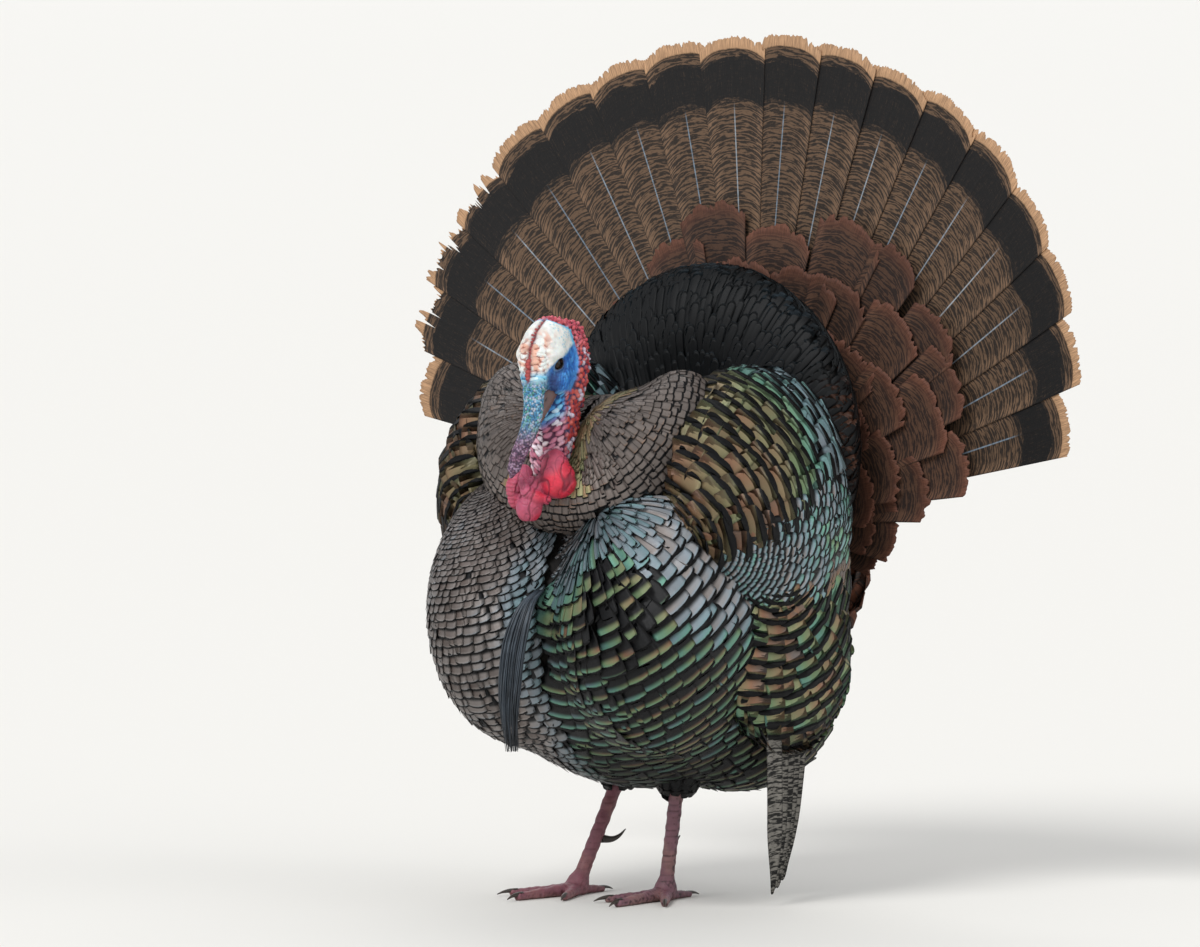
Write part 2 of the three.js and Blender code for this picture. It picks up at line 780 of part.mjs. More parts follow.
// ---- all parts, named ----
addPart('trunk', 'breast_feather', trunk);
addPart('back', 'back_feather', back);
addPart('collar', 'neck_feather', collar);
addPart('neck', 'head_skin', neck);
addPart('head', 'head_skin', head);
addPart('eye_left', 'eye', eyeBalls[0]);
addPart('eye_right', 'eye', eyeBalls[1]);
addPart('bill_upper', 'bill_horn', billUpper);
addPart('bill_lower', 'bill_horn', billLower);
addPart('snood', 'snood_skin', snood);
for (const [name, geometry] of Object.entries(wattles)) {
  addPart(name, 'red_skin', geometry);
}
addPart('beard', 'beard_bristle', carve(beardBlob, [trunk]));
addPart('wing_left', 'wing_feather', wingLeft);
addPart('wing_right', 'wing_feather', wingRight);
for (let i = 0; i < PRIMARY.count; i += 1) {
  const near = [trunk, wingLeftBlob, wingRightBlob];
  addPart(`primary_left_${i + 1}`, 'quill_feather', carve(primarySolid(1, i), near));
  addPart(`primary_right_${i + 1}`, 'quill_feather', carve(primarySolid(-1, i), near));
}
rectrices.forEach((geometry, i) => {
  addPart(`tail_feather_${String(i + 1).padStart(2, '0')}`, 'tail_feather', geometry);
});
addPart('tail_coverts', 'covert_feather', coverts);
addPart('undertail', 'covert_feather', undertail);
for (const [name, slot, geometry] of legParts) {
  addPart(name, slot, geometry);
}

export default bird;
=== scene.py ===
"""A life-size museum model of a wild turkey tom in full strut.

Lengths in this file are millimetres in the layout frame of the solids (root of
the fan at x 0, y 0) until metres() places them in the shared frame.
"""

import math

import bpy
import numpy as np
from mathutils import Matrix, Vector
from mathutils.kdtree import KDTree


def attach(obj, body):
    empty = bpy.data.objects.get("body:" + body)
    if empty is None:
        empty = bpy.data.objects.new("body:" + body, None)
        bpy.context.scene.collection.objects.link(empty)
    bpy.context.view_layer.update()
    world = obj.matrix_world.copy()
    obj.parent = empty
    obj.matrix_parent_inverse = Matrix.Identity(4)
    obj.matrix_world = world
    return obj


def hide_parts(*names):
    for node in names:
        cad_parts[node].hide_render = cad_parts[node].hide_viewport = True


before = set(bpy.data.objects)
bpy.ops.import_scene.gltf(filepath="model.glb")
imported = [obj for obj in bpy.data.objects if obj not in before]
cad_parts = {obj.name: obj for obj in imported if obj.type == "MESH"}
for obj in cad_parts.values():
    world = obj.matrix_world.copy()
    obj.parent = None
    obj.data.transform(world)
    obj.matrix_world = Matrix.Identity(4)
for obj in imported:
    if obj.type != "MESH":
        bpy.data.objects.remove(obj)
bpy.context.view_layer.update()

# ---- sizes ----
SHIFT = np.array([-3.86, 175.27, 0.0])
HEAD_AT = np.array([0.0, -342.0, 18.0])
HEAD_TURN = 13.0
COAT_DEPTH = 7.0
EYE = {"radius": 6.6, "side": 15.6, "forward": 12.0, "height": 521.0, "opening": (6.2, 3.9),
       "lid": 1.0}
EAR = {"at": (25.0, 14, 506), "size": (3.4, 2.0, 2.4)}
HEAD_SKIN_END = 368.0
HEAD_CELL, LEG_CELL, BODY_CELL = 0.7, 1.5, 5.0
FAN = {
    "height": 365.0, "forward": 10.0, "count": 18, "first": -72.5, "last": 73.5,
    "base": 58.0, "mid": 487.0, "side": 397.0, "side_angle": 77.0, "skew": 5.0,
    "side_forward": 30.0, "mid_back": 8.0, "pitch_depth": 1.35,
}
COVERT = {
    "outer": 322.0, "left_loss": 110.0, "right_loss": 200.0, "half_span": 98.0,
    "ranks": [(1.0, 14), (0.86, 13), (0.72, 12), (0.58, 12)], "half_width": (34, 48),
}
# Edges of fan feathers: how many splits, the deepest and how short the worn stretches are.
SOUND_EDGE = {"count": 9, "deepest": 9.0, "worn": 1.5}
WORN_EDGE = {"count": 13, "deepest": 34.0, "worn": 14.0}
COVERT_EDGE = {"count": 12, "deepest": 12.0, "worn": 4.0}
PRIMARY = {"count": 5, "half_width": 9.5}
MOUTH = {"back": (1, 0, 497), "tip": (1, -51, 442)}
BILL = {
    "bill_top": {"height": 13, "half_width": 14.5, "reach": 1.0, "sign": 1, "node": "bill_upper"},
    "bill_under": {"height": 8, "half_width": 13.5, "reach": 0.92, "sign": -1, "node": "bill_lower"},
}
SNOOD = {
    "path": [(2, -27, 508), (5, -39, 496), (8.5, -48, 476), (6, -54, 456), (-3, -55, 436),
             (-14, -51, 412)],
    "wide": (11.5, 5.2), "deep": (7.6, 4.6),
}
FEET = [
    {"name": "left", "side": 1, "at": (28, -187), "hock": (52, -192, 158), "toe_out": 4},
    {"name": "right", "side": -1, "at": (-74, -198), "hock": (-52, -132, 160), "toe_out": -6},
]
TOES = [
    {"name": "inner", "angle": -32, "length": 62, "radius": 6.0},
    {"name": "middle", "angle": 0, "length": 84, "radius": 6.8},
    {"name": "outer", "angle": 33, "length": 66, "radius": 6.0},
    {"name": "hind", "angle": 176, "length": 38, "radius": 5.0},
]
SHANK_RADIUS = 6.4
CLAW_KNOTS = [(-5, 1.5), (1, 1.6), (6, 1.5), (11, 1.15), (16, 0.5)]
SPUR_STEPS = [(3, 3, 0), (8, 12, -1), (11, 21, 2), (12, 30, 8)]
BEARD = {
    "path": [(0, -352, 316), (0, -374, 302), (-4, -389, 262), (-7, -393, 206), (-4, -391, 160)],
    "bristles": 210, "across": 15, "down": 14, "points": 13, "around": 5,
}
BEAD_TRIES = 14000
# Spacing of the knobs of each part of the head.
KNOB = {"crown": 3.3, "nape": 4.3, "rope": 3.5, "cobble": 4.3, "wrinkle": 2.4, "grain": 1.75,
        "dot": 2.6}


# ---- small maths ----
def mix(a, b, t):
    return a + (b - a) * t


def smooth(value, low, high):
    """0 below low, 1 above high, smooth between; low may be the larger."""
    t = np.clip((value - low) / (high - low), 0.0, 1.0)
    return t * t * (3 - 2 * t)


def unit(v):
    return v / np.maximum(np.linalg.norm(v, axis=-1, keepdims=True), 1e-9)


def flat_to(v, n):
    """The part of v that is square to the unit vector n, as a unit vector."""
    return unit(v - (v * n).sum(-1, keepdims=True) * n)


def turned(turn):
    """Rotation matrix for angles in degrees about X, then Y, then Z of the turned part."""
    x, y, z = np.radians(turn)
    rx = np.array([[1, 0, 0], [0, math.cos(x), -math.sin(x)], [0, math.sin(x), math.cos(x)]])
    ry = np.array([[math.cos(y), 0, math.sin(y)], [0, 1, 0], [-math.sin(y), 0, math.cos(y)]])
    rz = np.array([[math.cos(z), -math.sin(z), 0], [math.sin(z), math.cos(z), 0], [0, 0, 1]])
    return rx @ ry @ rz


HEAD_ROT = turned((0, 0, HEAD_TURN))


def metres(p):
    return (p + SHIFT) * 0.001


def to_head(p):
    return (p - HEAD_AT) @ HEAD_ROT


def from_head(p):
    return p @ HEAD_ROT.T + HEAD_AT


def curve(points, t):
    """Points of a smooth curve through the given points, t from 0 to 1."""
    pts = np.asarray(points, float)
    ends = np.vstack([2 * pts[0] - pts[1], pts, 2 * pts[-1] - pts[-2]])
    at = np.clip(np.asarray(t, float), 0, 1) * (len(pts) - 1)
    i = np.minimum(at.astype(int), len(pts) - 2)
    f = (at - i)[..., None]
    a, b, c, d = ends[i], ends[i + 1], ends[i + 2], ends[i + 3]
    return 0.5 * (2 * b + (c - a) * f + (2 * a - 5 * b + 4 * c - d) * f**2
                  + (3 * b - a - 3 * c + d) * f**3)


def wander(p, scale, seed):
    """Smooth noise about -1 to 1 made of a few sine waves in fixed random directions."""
    rng = np.random.default_rng(seed)
    total = 0
    for octave in range(4):
        way = unit(rng.normal(size=3)) * (1.0 + 0.6 * octave)
        total = total + np.sin(p @ way / scale + rng.uniform(0, 6.28)) / (1 + 0.5 * octave)
    return total / 2.4


# ---- shapes as distance fields ----
def lump(at, size, turn=(0, 0, 0)):
    return np.array(at, float), np.array(size, float), turned(turn)


def pair(at, size, turn=(0, 0, 0)):
    other = (turn[0], -turn[1], -turn[2])
    return [lump(at, size, turn), lump((-at[0], at[1], at[2]), size, other)]


def lump_distance(p, item):
    at, size, rotation = item
    q = (p - at) @ rotation / size
    reach = np.sqrt((q * q).sum(-1))
    slope = np.sqrt(((q / size) ** 2).sum(-1))
    return reach * (reach - 1) / np.maximum(slope, 1e-6)


def soft_least(distances, blend):
    stack = np.stack(distances)
    least = stack.min(0)
    return least - blend * np.log(np.exp((least - stack) / blend).sum(0))


def body(lumps, blend, hollows=()):
    def field(p):
        solid = soft_least([lump_distance(p, item) for item in lumps], blend)
        if not hollows:
            return solid
        empty = soft_least([lump_distance(p, item) for item in hollows], blend)
        return blend * np.logaddexp(solid / blend, -empty / blend)
    return field


def merged(fields, blend):
    return lambda p: soft_least([field(p) for field in fields], blend)


def shrunk(field, depth):
    return lambda p: field(p) + depth


def chain(points, radii, blend=2.0, squash=None):
    """Soft union of round bars from point to point, each with its own end radii."""
    spots = np.asarray(points, float)
    radii = np.asarray(radii, float)

    def field(p):
        parts = []
        for a, b, ra, rb in zip(spots[:-1], spots[1:], radii[:-1], radii[1:]):
            way = b - a
            t = np.clip(((p - a) @ way) / (way @ way), 0, 1)
            off = p - (a + t[..., None] * way)
            if squash is not None:
                off = off / squash
            parts.append(np.sqrt((off * off).sum(-1)) - (ra + (rb - ra) * t))
        return soft_least(parts, blend)
    return field


def side_of(side, at):
    return (side * at[0], at[1], at[2])


def spin(side, turn):
    return (turn[0], side * turn[1], side * turn[2])


TRUNK = body([
    lump((0, -186, 272), (176, 166, 160)),
    *pair((81, -264, 292), (91, 117, 137), (-6, 0, 0)),
    *pair((72, -126, 188), (88, 96, 80)),
    lump((0, -62, 285), (126, 74, 118)),
], 7)


def wing_lumps(side):
    return [
        lump(side_of(side, (135, -180, 412)), (70, 126, 120), spin(side, (0, -12, 4))),
        lump(side_of(side, (152, -166, 268)), (38, 92, 114), spin(side, (14, -3, -4))),
        lump(side_of(side, (138, -108, 345)), (34, 46, 84), spin(side, (24, 0, -8))),
    ]


WINGS = {side: body(wing_lumps(side), 8) for side in (1, -1)}
BACK = body([
    lump((0, -84, 440), (186, 52, 184), (-4, 0, 0)),
    lump((0, -128, 400), (140, 64, 110)),
], 10, [lump((0, -176, 500), (104, 62, 92))])
COLLAR = body([
    *pair((60, -276, 446), (60, 60, 64), (0, 10, 0)),
    *pair((92, -256, 470), (40, 50, 62), (0, 14, 0)),
    lump((0, -242, 440), (70, 50, 62)),
    lump((0, -292, 406), (96, 54, 42)),
], 8)
UNDERTAIL = body([
    lump((0, 6, 322), (126, 30, 84)),
    lump((0, 24, 356), (92, 26, 96), (-6, 0, 0)),
    lump((0, -6, 262), (96, 38, 62)),
], 8)


def thigh(foot):
    hock, at = foot["hock"], foot["at"]
    return body([
        lump((hock[0], hock[1] + 2, 168), (36, 44, 52)),
        lump((mix(hock[0], at[0], 0.3), mix(hock[1], at[1], 0.3), 128), (18, 21, 30)),
    ], 6)


THIGHS = {foot["name"]: thigh(foot) for foot in FEET}
HEAD = body([
    lump((0, 1, 533), (22, 37, 30), (24, 0, 0)),
    lump((0, 28, 528), (21, 27, 33)),
    *pair((10, 32, 540), (14, 17, 20)),
    *pair((13, 34, 518), (15, 15, 28)),
    *pair((12, 28, 492), (14, 16, 24)),
    lump((0, -17, 521), (16, 21, 24), (20, 0, 0)),
    lump((0, -26, 506), (11, 12, 14), (36, 0, 0)),
    *pair((13, 0, 508), (12, 18, 18)),
    *pair((13, -13, 530), (9, 13, 6)),
    *pair((17.5, 17, 510), (5, 6, 6)),
    lump((0, 16, 488), (18, 27, 24)),
], 2.6, pair((24.5, -13, 521), (6, 9, 6.5)))
NECK = body([
    lump((0, 16, 472), (19, 27, 30)),
    lump((0, 16, 432), (19, 24, 40)),
    lump((0, 22, 400), (22, 24, 32)),
    *pair((8, 20, 465), (14, 16, 22)),
    *pair((6, 12, 440), (13, 15, 18)),
], 4)
WATTLES = merged([
    body([lump((17, -12, 407), (20, 18, 18)), lump((14, -10, 424), (12, 12, 13))], 3),
    body([lump((-5, -29, 381), (13, 13, 15)), lump((-2, -22, 398), (10, 12, 14))], 3),
    body([lump((-22, -23, 396), (9, 12, 18)), lump((-17, -16, 408), (10, 12, 14))], 3),
    chain([(-11, -33, 406), (-3, -38, 397), (5, -33, 391), (12, -24, 388)], [4.2, 5.2, 5.4, 4.2], 1.5),
], 0.8)


def snood_sizes(t):
    tip = np.sqrt(np.maximum(0.12, 1 - np.maximum(0, (t - 0.86) / 0.14) ** 2))
    return mix(*SNOOD["wide"], t) * tip, mix(*SNOOD["deep"], t) * tip


def snood_field(p):
    """Flattened finger: wide across the face, thin from front to back."""
    t = np.linspace(0, 1, 15)
    spots = curve(SNOOD["path"], t)
    wide, deep = snood_sizes(t)
    squash = np.array([float(wide.mean() / deep.mean()), 1.0, 1.0])
    return chain(spots, deep, 1.2, squash)(p)


def normal_of(field, p, h=0.4):
    n = np.empty_like(p)
    for axis in range(3):
        step = np.zeros(3)
        step[axis] = h
        n[..., axis] = field(p + step) - field(p - step)
    return unit(n)


def settle(field, p, rounds=2, most=6.0):
    """Moves points along the field's slope until they lie on its surface."""
    for _ in range(rounds):
        n = normal_of(field, p)
        p = p - n * np.clip(field(p), -most, most)[..., None]
    return p


# ---- surfaces from fields ----
def surface_net(field, low, high, cell):
    """A closed quad mesh of the field's zero surface on a grid of cells."""
    coarse = 4
    low = np.asarray(low, float)
    counts = np.ceil((np.asarray(high) - low) / cell / coarse).astype(int) + 1
    block = np.stack(np.meshgrid(*[np.arange(n) for n in counts], indexing="ij"), -1)
    rough = field((low + block * (cell * coarse)).reshape(-1, 3)).reshape(tuple(counts))
    near = np.abs(rough) < cell * coarse * 2.4
    fine = tuple((counts - 1) * coarse + 1)
    index = [np.minimum((np.arange(n) + coarse // 2) // coarse, c - 1)
             for n, c in zip(fine, counts)]
    grid = rough[np.ix_(*index)].copy()
    spots = np.argwhere(near[np.ix_(*index)])
    values = np.concatenate([field(low + part * cell)
                             for part in np.array_split(spots, len(spots) // 200000 + 1)])
    grid[tuple(spots.T)] = values
    inside = grid < 0
    corners = np.array([(i, j, k) for i in (0, 1) for j in (0, 1) for k in (0, 1)])
    total = sum(inside[i:fine[0] - 1 + i, j:fine[1] - 1 + j, k:fine[2] - 1 + k].astype(np.int8)
                for i, j, k in corners)
    cells = np.argwhere((total > 0) & (total < 8))
    summed = np.zeros((len(cells), 3))
    hits = np.zeros(len(cells))
    for axis in range(3):
        step = np.eye(3, dtype=int)[axis]
        for corner in corners[corners[:, axis] == 0]:
            a = cells + corner
            b = a + step
            va, vb = grid[tuple(a.T)], grid[tuple(b.T)]
            cross = (va < 0) != (vb < 0)
            t = np.where(cross, va / np.where(cross, va - vb, 1.0), 0.0)
            summed += np.where(cross[:, None], a + t[:, None] * step, 0.0)
            hits += cross
    verts = low + summed / hits[:, None] * cell
    number = np.full([n - 1 for n in fine], -1, np.int64)
    number[tuple(cells.T)] = np.arange(len(cells))
    quads = []
    for axis in range(3):
        u, v = [(1, 2), (2, 0), (0, 1)][axis]
        step, su, sv = np.eye(3, dtype=int)[[axis, u, v]]
        first = inside[tuple(slice(0, n - 1) if a == axis else slice(0, n)
                             for a, n in enumerate(fine))]
        second = inside[tuple(slice(1, n) if a == axis else slice(0, n)
                              for a, n in enumerate(fine))]
        edges = np.argwhere(first != second)
        within = (edges > 0) & (edges < np.array(fine) - 1)
        edges = edges[within[:, u] & within[:, v]]
        ring = [number[tuple(c.T)] for c in (edges - su - sv, edges - sv, edges, edges - su)]
        quad, out = np.stack(ring, 1), first[tuple(edges.T)][:, None]
        quads.append(np.where(out, quad, quad[:, ::-1]))
    return settle(field, verts, 2, cell * 0.6), np.concatenate(quads)


# ---- meshes ----
def build_mesh(name, verts, faces, material, points=None, uv=None):
    """A mesh object from points in layout millimetres and lists of equal-sized faces."""
    mesh = bpy.data.meshes.new(name)
    verts = metres(np.asarray(verts, float).reshape(-1, 3))
    mesh.vertices.add(len(verts))
    mesh.vertices.foreach_set("co", verts.ravel())
    loops = np.concatenate([f.ravel() for f in faces]).astype(np.int32)
    sizes = np.concatenate([np.full(len(f), f.shape[1]) for f in faces])
    starts = (np.cumsum(sizes) - sizes).astype(np.int32)
    mesh.loops.add(len(loops))
    mesh.loops.foreach_set("vertex_index", loops)
    mesh.polygons.add(len(sizes))
    mesh.polygons.foreach_set("loop_start", starts)
    mesh.update(calc_edges=True)
    mesh.validate()
    mesh.polygons.foreach_set("use_smooth", np.ones(len(mesh.polygons), bool))
    for key, values in (points or {}).items():
        kind, field = ("FLOAT_VECTOR", "vector") if values.shape[-1] == 3 else ("FLOAT_COLOR", "color")
        layer = mesh.attributes.new(key, kind, "POINT")
        layer.data.foreach_set(field, np.asarray(values, np.float32).ravel())
    if uv is not None:
        layer = mesh.uv_layers.new(name="OFBake")
        index = np.empty(len(mesh.loops), np.int32)
        mesh.loops.foreach_get("vertex_index", index)
        layer.data.foreach_set("uv", np.asarray(uv, np.float32)[index].ravel())
    mesh.materials.append(material)
    piece = bpy.data.objects.new(name, mesh)
    bpy.context.scene.collection.objects.link(piece)
    return piece


def join_parts(parts):
    """One list of points and one of quads from several (points, quads)."""
    verts, quads, start = [], [], 0
    for v, q in parts:
        verts.append(v)
        quads.append(q + start)
        start += len(v)
    return np.concatenate(verts), np.concatenate(quads)


def grid_faces(rows, columns, closed=False):
    """Point numbers of a grid and its quads; a closed grid joins its last column to its first."""
    at = np.arange(rows * columns).reshape(rows, columns)
    ring = np.hstack([at, at[:, :1]]) if closed else at
    quads = np.stack([ring[:-1, :-1], ring[:-1, 1:], ring[1:, 1:], ring[1:, :-1]], -1)
    return at, quads.reshape(-1, 4)


def tube(path, radii, around, hint=(1, 0, 0)):
    """A closed tapered tube along a path: points, quads and the two end faces."""
    path = np.asarray(path, float)
    way = unit(np.gradient(path, axis=0))
    side = flat_to(np.asarray(hint, float) + 0 * way, way)
    up = np.cross(way, side)
    turn = np.linspace(0, 2 * math.pi, around, endpoint=False)[:, None]
    ring = side[:, None] * np.cos(turn) + up[:, None] * np.sin(turn)
    verts = path[:, None] + ring * np.asarray(radii, float)[:, None, None]
    at, quads = grid_faces(len(path), around, closed=True)
    return verts.reshape(-1, 3), quads, np.stack([at[0, ::-1], at[-1]])


# ---- materials ----
def rgb(code):
    """Linear colour with alpha from a six-figure display colour."""
    parts = [int(code[i:i + 2], 16) / 255 for i in (0, 2, 4)]
    return tuple(c / 12.92 if c <= 0.04045 else ((c + 0.055) / 1.055) ** 2.4 for c in parts) + (1,)


class Value:
    """A number inside a material; sums and products of it become maths nodes."""

    def __init__(self, paint, socket):
        self.paint, self.socket = paint, socket

    def __add__(self, other):
        return self.paint.math("ADD", self, other)

    def __sub__(self, other):
        return self.paint.math("SUBTRACT", self, other)

    def __rsub__(self, other):
        return self.paint.math("SUBTRACT", other, self)

    def __mul__(self, other):
        return self.paint.math("MULTIPLY", self, other)

    def __truediv__(self, other):
        return self.paint.math("DIVIDE", self, other)

    def __abs__(self):
        return self.paint.math("ABSOLUTE", self)


class Paint:
    """Short names for the nodes of one material."""

    def __init__(self, name, roughness=0.5, **sockets):
        self.material = bpy.data.materials.new(name)
        self.material.use_nodes = True
        self.tree = self.material.node_tree
        self.shader = self.tree.nodes["Principled BSDF"]
        self.set(self.shader, Roughness=roughness, **sockets)

    def set(self, made, **sockets):
        """Links or writes the named sockets of a node; an underscore stands for a space."""
        for key, value in sockets.items():
            self.plug(made.inputs[key.replace("_", " ")], value)

    def plug(self, socket, value):
        if isinstance(value, Value):
            self.tree.links.new(value.socket, socket)
        elif value is not None:
            socket.default_value = value

    def node(self, kind, *values, out=0, **settings):
        """A node with its settings and its first sockets filled; gives one of its outputs."""
        made = self.tree.nodes.new("ShaderNode" + kind)
        for key, value in settings.items():
            setattr(made, key, value)
        for socket, value in zip(made.inputs, values):
            self.plug(socket, value)
        return Value(self, made.outputs[out])

    def math(self, operation, *values):
        return self.node("Math", *values, operation=operation)

    def attribute(self, name, out="Vector"):
        return self.node("Attribute", out=out, attribute_name=name)

    def split(self, vector):
        outputs = self.node("SeparateXYZ", vector).socket.node.outputs
        return [Value(self, socket) for socket in outputs]

    def vector(self, x, y, z=0.0):
        return self.node("CombineXYZ", x, y, z)

    def noise(self, where, scale, detail=2.0, rough=0.5):
        made = self.node("TexNoise")
        self.set(made.socket.node, Vector=where, Scale=scale, Detail=detail, Roughness=rough)
        return made

    def place(self):
        """Position in metres, fixed to the piece."""
        return self.node("TexCoord", out="Object")

    def range(self, value, low, high, to_low=0.0, to_high=1.0):
        """Smooth step from to_low at low to to_high at high."""
        return self.node("MapRange", value, low, high, to_low, to_high,
                         interpolation_type="SMOOTHSTEP")

    def mix(self, factor, a, b, blend="MIX"):
        made = self.node("Mix", factor, out=2, data_type="RGBA", blend_type=blend)
        for number, value in ((6, a), (7, b)):
            self.plug(made.socket.node.inputs[number], value)
        return made

    def dimmed(self, color, light):
        return self.mix(1.0, color, self.vector(light, light, light), "MULTIPLY")

    def ramp(self, value, stops):
        made = self.node("ValToRGB", value)
        points = made.socket.node.color_ramp.elements
        while len(points) < len(stops):
            points.new(0.5)
        for point, (at, code) in zip(points, stops):
            point.position = at
            point.color = rgb(code)
        return made

    def finish(self, color, roughness=None, bump=None, depth=0.001, strength=0.6):
        self.set(self.shader, Base_Color=color, Roughness=roughness)
        if bump is not None:
            made = self.node("Bump")
            self.set(made.socket.node, Strength=strength, Distance=depth, Height=bump)
            self.set(self.shader, Normal=made)
        return self.material


# Hue scale of the glossy feathers: 0 mauve, then blue, teal, green, gold, copper, 1 grey-brown.
SHEEN_STOPS = [
    (0.0, "6b605b"), (0.14, "8f8885"), (0.26, "88929a"), (0.38, "76939a"), (0.5, "689c8a"),
    (0.62, "79956d"), (0.74, "8f8965"), (0.86, "936c53"), (0.94, "7f6b5e"), (1.0, "6e6560"),
]


def plume_material():
    """Glossy body feather: coloured band, black border, painted shade at the base under the row above,
    fine barbs.
    """
    m = Paint("plume", Metallic=0.25, Specular_IOR_Level=0.35)
    tip, side, across = m.split(m.attribute("vane"))
    hue, tone, black = m.split(m.attribute("coat", "Color"))
    chance = m.attribute("coat", "Alpha")
    gap, shaded, play = m.split(m.attribute("row"))
    where = m.place()
    patch, fine = m.noise(where, 42.0), m.noise(where, 420.0, 1.0)
    edge = tip + (fine - 0.5) * (gap * 0.11)
    band = m.range(edge, black * 0.84, black * 1.16)
    # Painted shade: seam darkens the side edges of each vane where its neighbour overlaps, base the part
    # that the row above shades.
    seam = m.range(side, gap * 0.012, gap * 0.05, 0.72, 1.0)
    base = m.range(tip, gap * (1.2 - shaded), gap * (0.8 - shaded)) * seam
    drift = (patch - 0.5) * m.range(play, 0.3, 1.0, 0.12, 0.3) + across * (play * 0.15)
    own = hue + (drift + (chance - 0.5) * 0.36 * play)
    fringe = m.range(edge - black, gap * 0.24, 0.3, 0.0, 0.6) * play
    own = own + fringe * (0.54 - own)
    lines = m.math("SINE", (tip + abs(across) * 6.0) * 6.5) * (fine + 0.2)
    luck = m.math("FRACT", chance * 7.13)
    light = (lines * 0.09 + tone) * m.range(luck, 0.0, 1.0, 0.84, 1.13)
    color = m.dimmed(m.ramp(own, SHEEN_STOPS), light)
    # One near-black serves the real black border (band) and the painted shade (base).
    dark = m.mix(fine * 0.8, rgb("08080a"), rgb("18191c"))
    color = m.mix(band * base, dark, color)
    return m.finish(color, m.range(band, 0.0, 1.0, 0.6, 0.38), lines, 0.00022, 0.5)


def rump_material():
    """Black erect back feathers with faint blue edges; copper where hue is high."""
    m = Paint("rump", Specular_IOR_Level=0.22)
    tip, side, across = m.split(m.attribute("vane"))
    hue, tone, _ = m.split(m.attribute("coat", "Color"))
    fine = m.noise(m.place(), 500.0, 1.0)
    rim = m.range(m.math("MINIMUM", tip, side * 2.0) + fine * 0.8, 1.5, 0.5)
    rim_color = m.ramp(hue, [(0.0, "28343c"), (0.45, "242b2e"), (0.75, "5a3a2c"), (1.0, "7d5139")])
    color = m.mix(rim * tone, m.mix(fine, rgb("060708"), rgb("0f1113")), rim_color)
    lines = m.math("SINE", (tip + across * 7.0) * 4.0)
    return m.finish(color, 0.5, lines, 0.0003, 0.2)


def barred_material(name, pale, dark, tip_color, tip_depth, bar, black_depth=0.0, fade=0.0):
    """Barred feather: wavy bars across, a coloured tip and, if deep enough, a black band."""
    m = Paint(name, Specular_IOR_Level=0.3)
    tip, side, across = m.split(m.attribute("vane"))
    _, tone, _ = m.split(m.attribute("coat", "Color"))
    chance = m.attribute("coat", "Alpha")
    wave = m.noise(m.vector(tip * 0.1, across * 0.02, chance * 40.0), 2.2, 3.0)
    speck = m.noise(m.vector(tip * 0.5, across * 0.16, chance * 90.0), 1.6, 3.0, 0.7)
    phase = tip / bar + wave * 3.4 + abs(across) * 0.014
    bars = m.math("SINE", phase * 6.2832) + (speck - 0.5) * 4.2
    color = m.mix(m.range(bars, -0.7, 0.9), rgb(dark), rgb(pale))
    # Darker towards the middle of the vane; the thin dark line along the side edges is painted shade
    # where neighbouring feathers overlap.
    color = m.dimmed(color, m.range(side, 2.0, 16.0, 1.0, 0.66) * m.range(side, 0.0, 2.0, 0.55, 1.0))
    if black_depth:
        top = tip + (wave - 0.5) * 22.0 + (speck - 0.5) * 14.0 + (chance - 0.5) * 9.0
        low = tip_depth + black_depth
        solid = m.range(top, tip_depth + 8.0, tip_depth + 11.0) * (1.0 - m.range(top, low, low + 11.0))
        barbs = m.noise(m.vector(across * 0.7, tip * 0.05, chance * 60.0), 2.0, 3.0)
        solid = solid * m.range(barbs, 0.5, 0.8, 1.0, 0.7)
        shaft = m.range(abs(across), 1.0, 0.35) * m.range(tip, low, low + 30.0)
        shaft = shaft * m.range(wave, 0.3, 0.7, 0.45, 0.9)
        color = m.mix(shaft, color, m.mix(chance, rgb("7d93a6"), rgb("b3bcc4")))
        color = m.mix(solid, color, m.mix(speck, rgb("0b0b0d"), rgb("1c1a1a")))
        line = m.math("COMPARE", tip + speck * 1.5, tip_depth + 1.2, 1.0)
        color = m.mix(line * 0.85, color, rgb("17110d"))
    ragged = tip + (speck - 0.5) * 3.0
    fringe = m.range(ragged, tip_depth - 1.0 - fade, tip_depth + 1.5 + fade, 1.0, 0.0)
    strands = m.noise(m.vector(across * 0.9, tip * 0.03, chance * 30.0), 2.6)
    tip_paint = m.dimmed(rgb(tip_color), m.range(strands, 0.25, 0.75, 0.42, 1.12))
    color = m.dimmed(m.mix(fringe, color, tip_paint), tone)
    return m.finish(color, 0.66, strands + bars * 0.1, 0.0005, 0.5)


# ---- feathers in rows over a surface ----
STATIONS = np.array([0.0, 0.035, 0.09, 0.17, 0.28, 0.44, 0.68, 1.0])
SMALL_STATIONS = np.array([0.0, 0.07, 0.2, 0.4, 0.68, 1.0])
# Half width as a share of the ring's pitch, the spread of widths and lengths, hidden root.
VANE = {"half": 0.74, "widths": (0.86, 1.22), "lengths": (0.95, 1.1), "root": 6.0}
UNWRAP = {"axis": -150.0, "height": 880.0}


def away(origin, drift, pull=150.0):
    """Directions that lead away from a point, bent towards drift further out."""
    drift = np.asarray(drift, float)

    def flow(p):
        off = p - origin
        reach = np.linalg.norm(off, axis=-1, keepdims=True)
        return off / np.maximum(reach, 1e-6) + drift * np.minimum(1, reach / pull)
    return flow


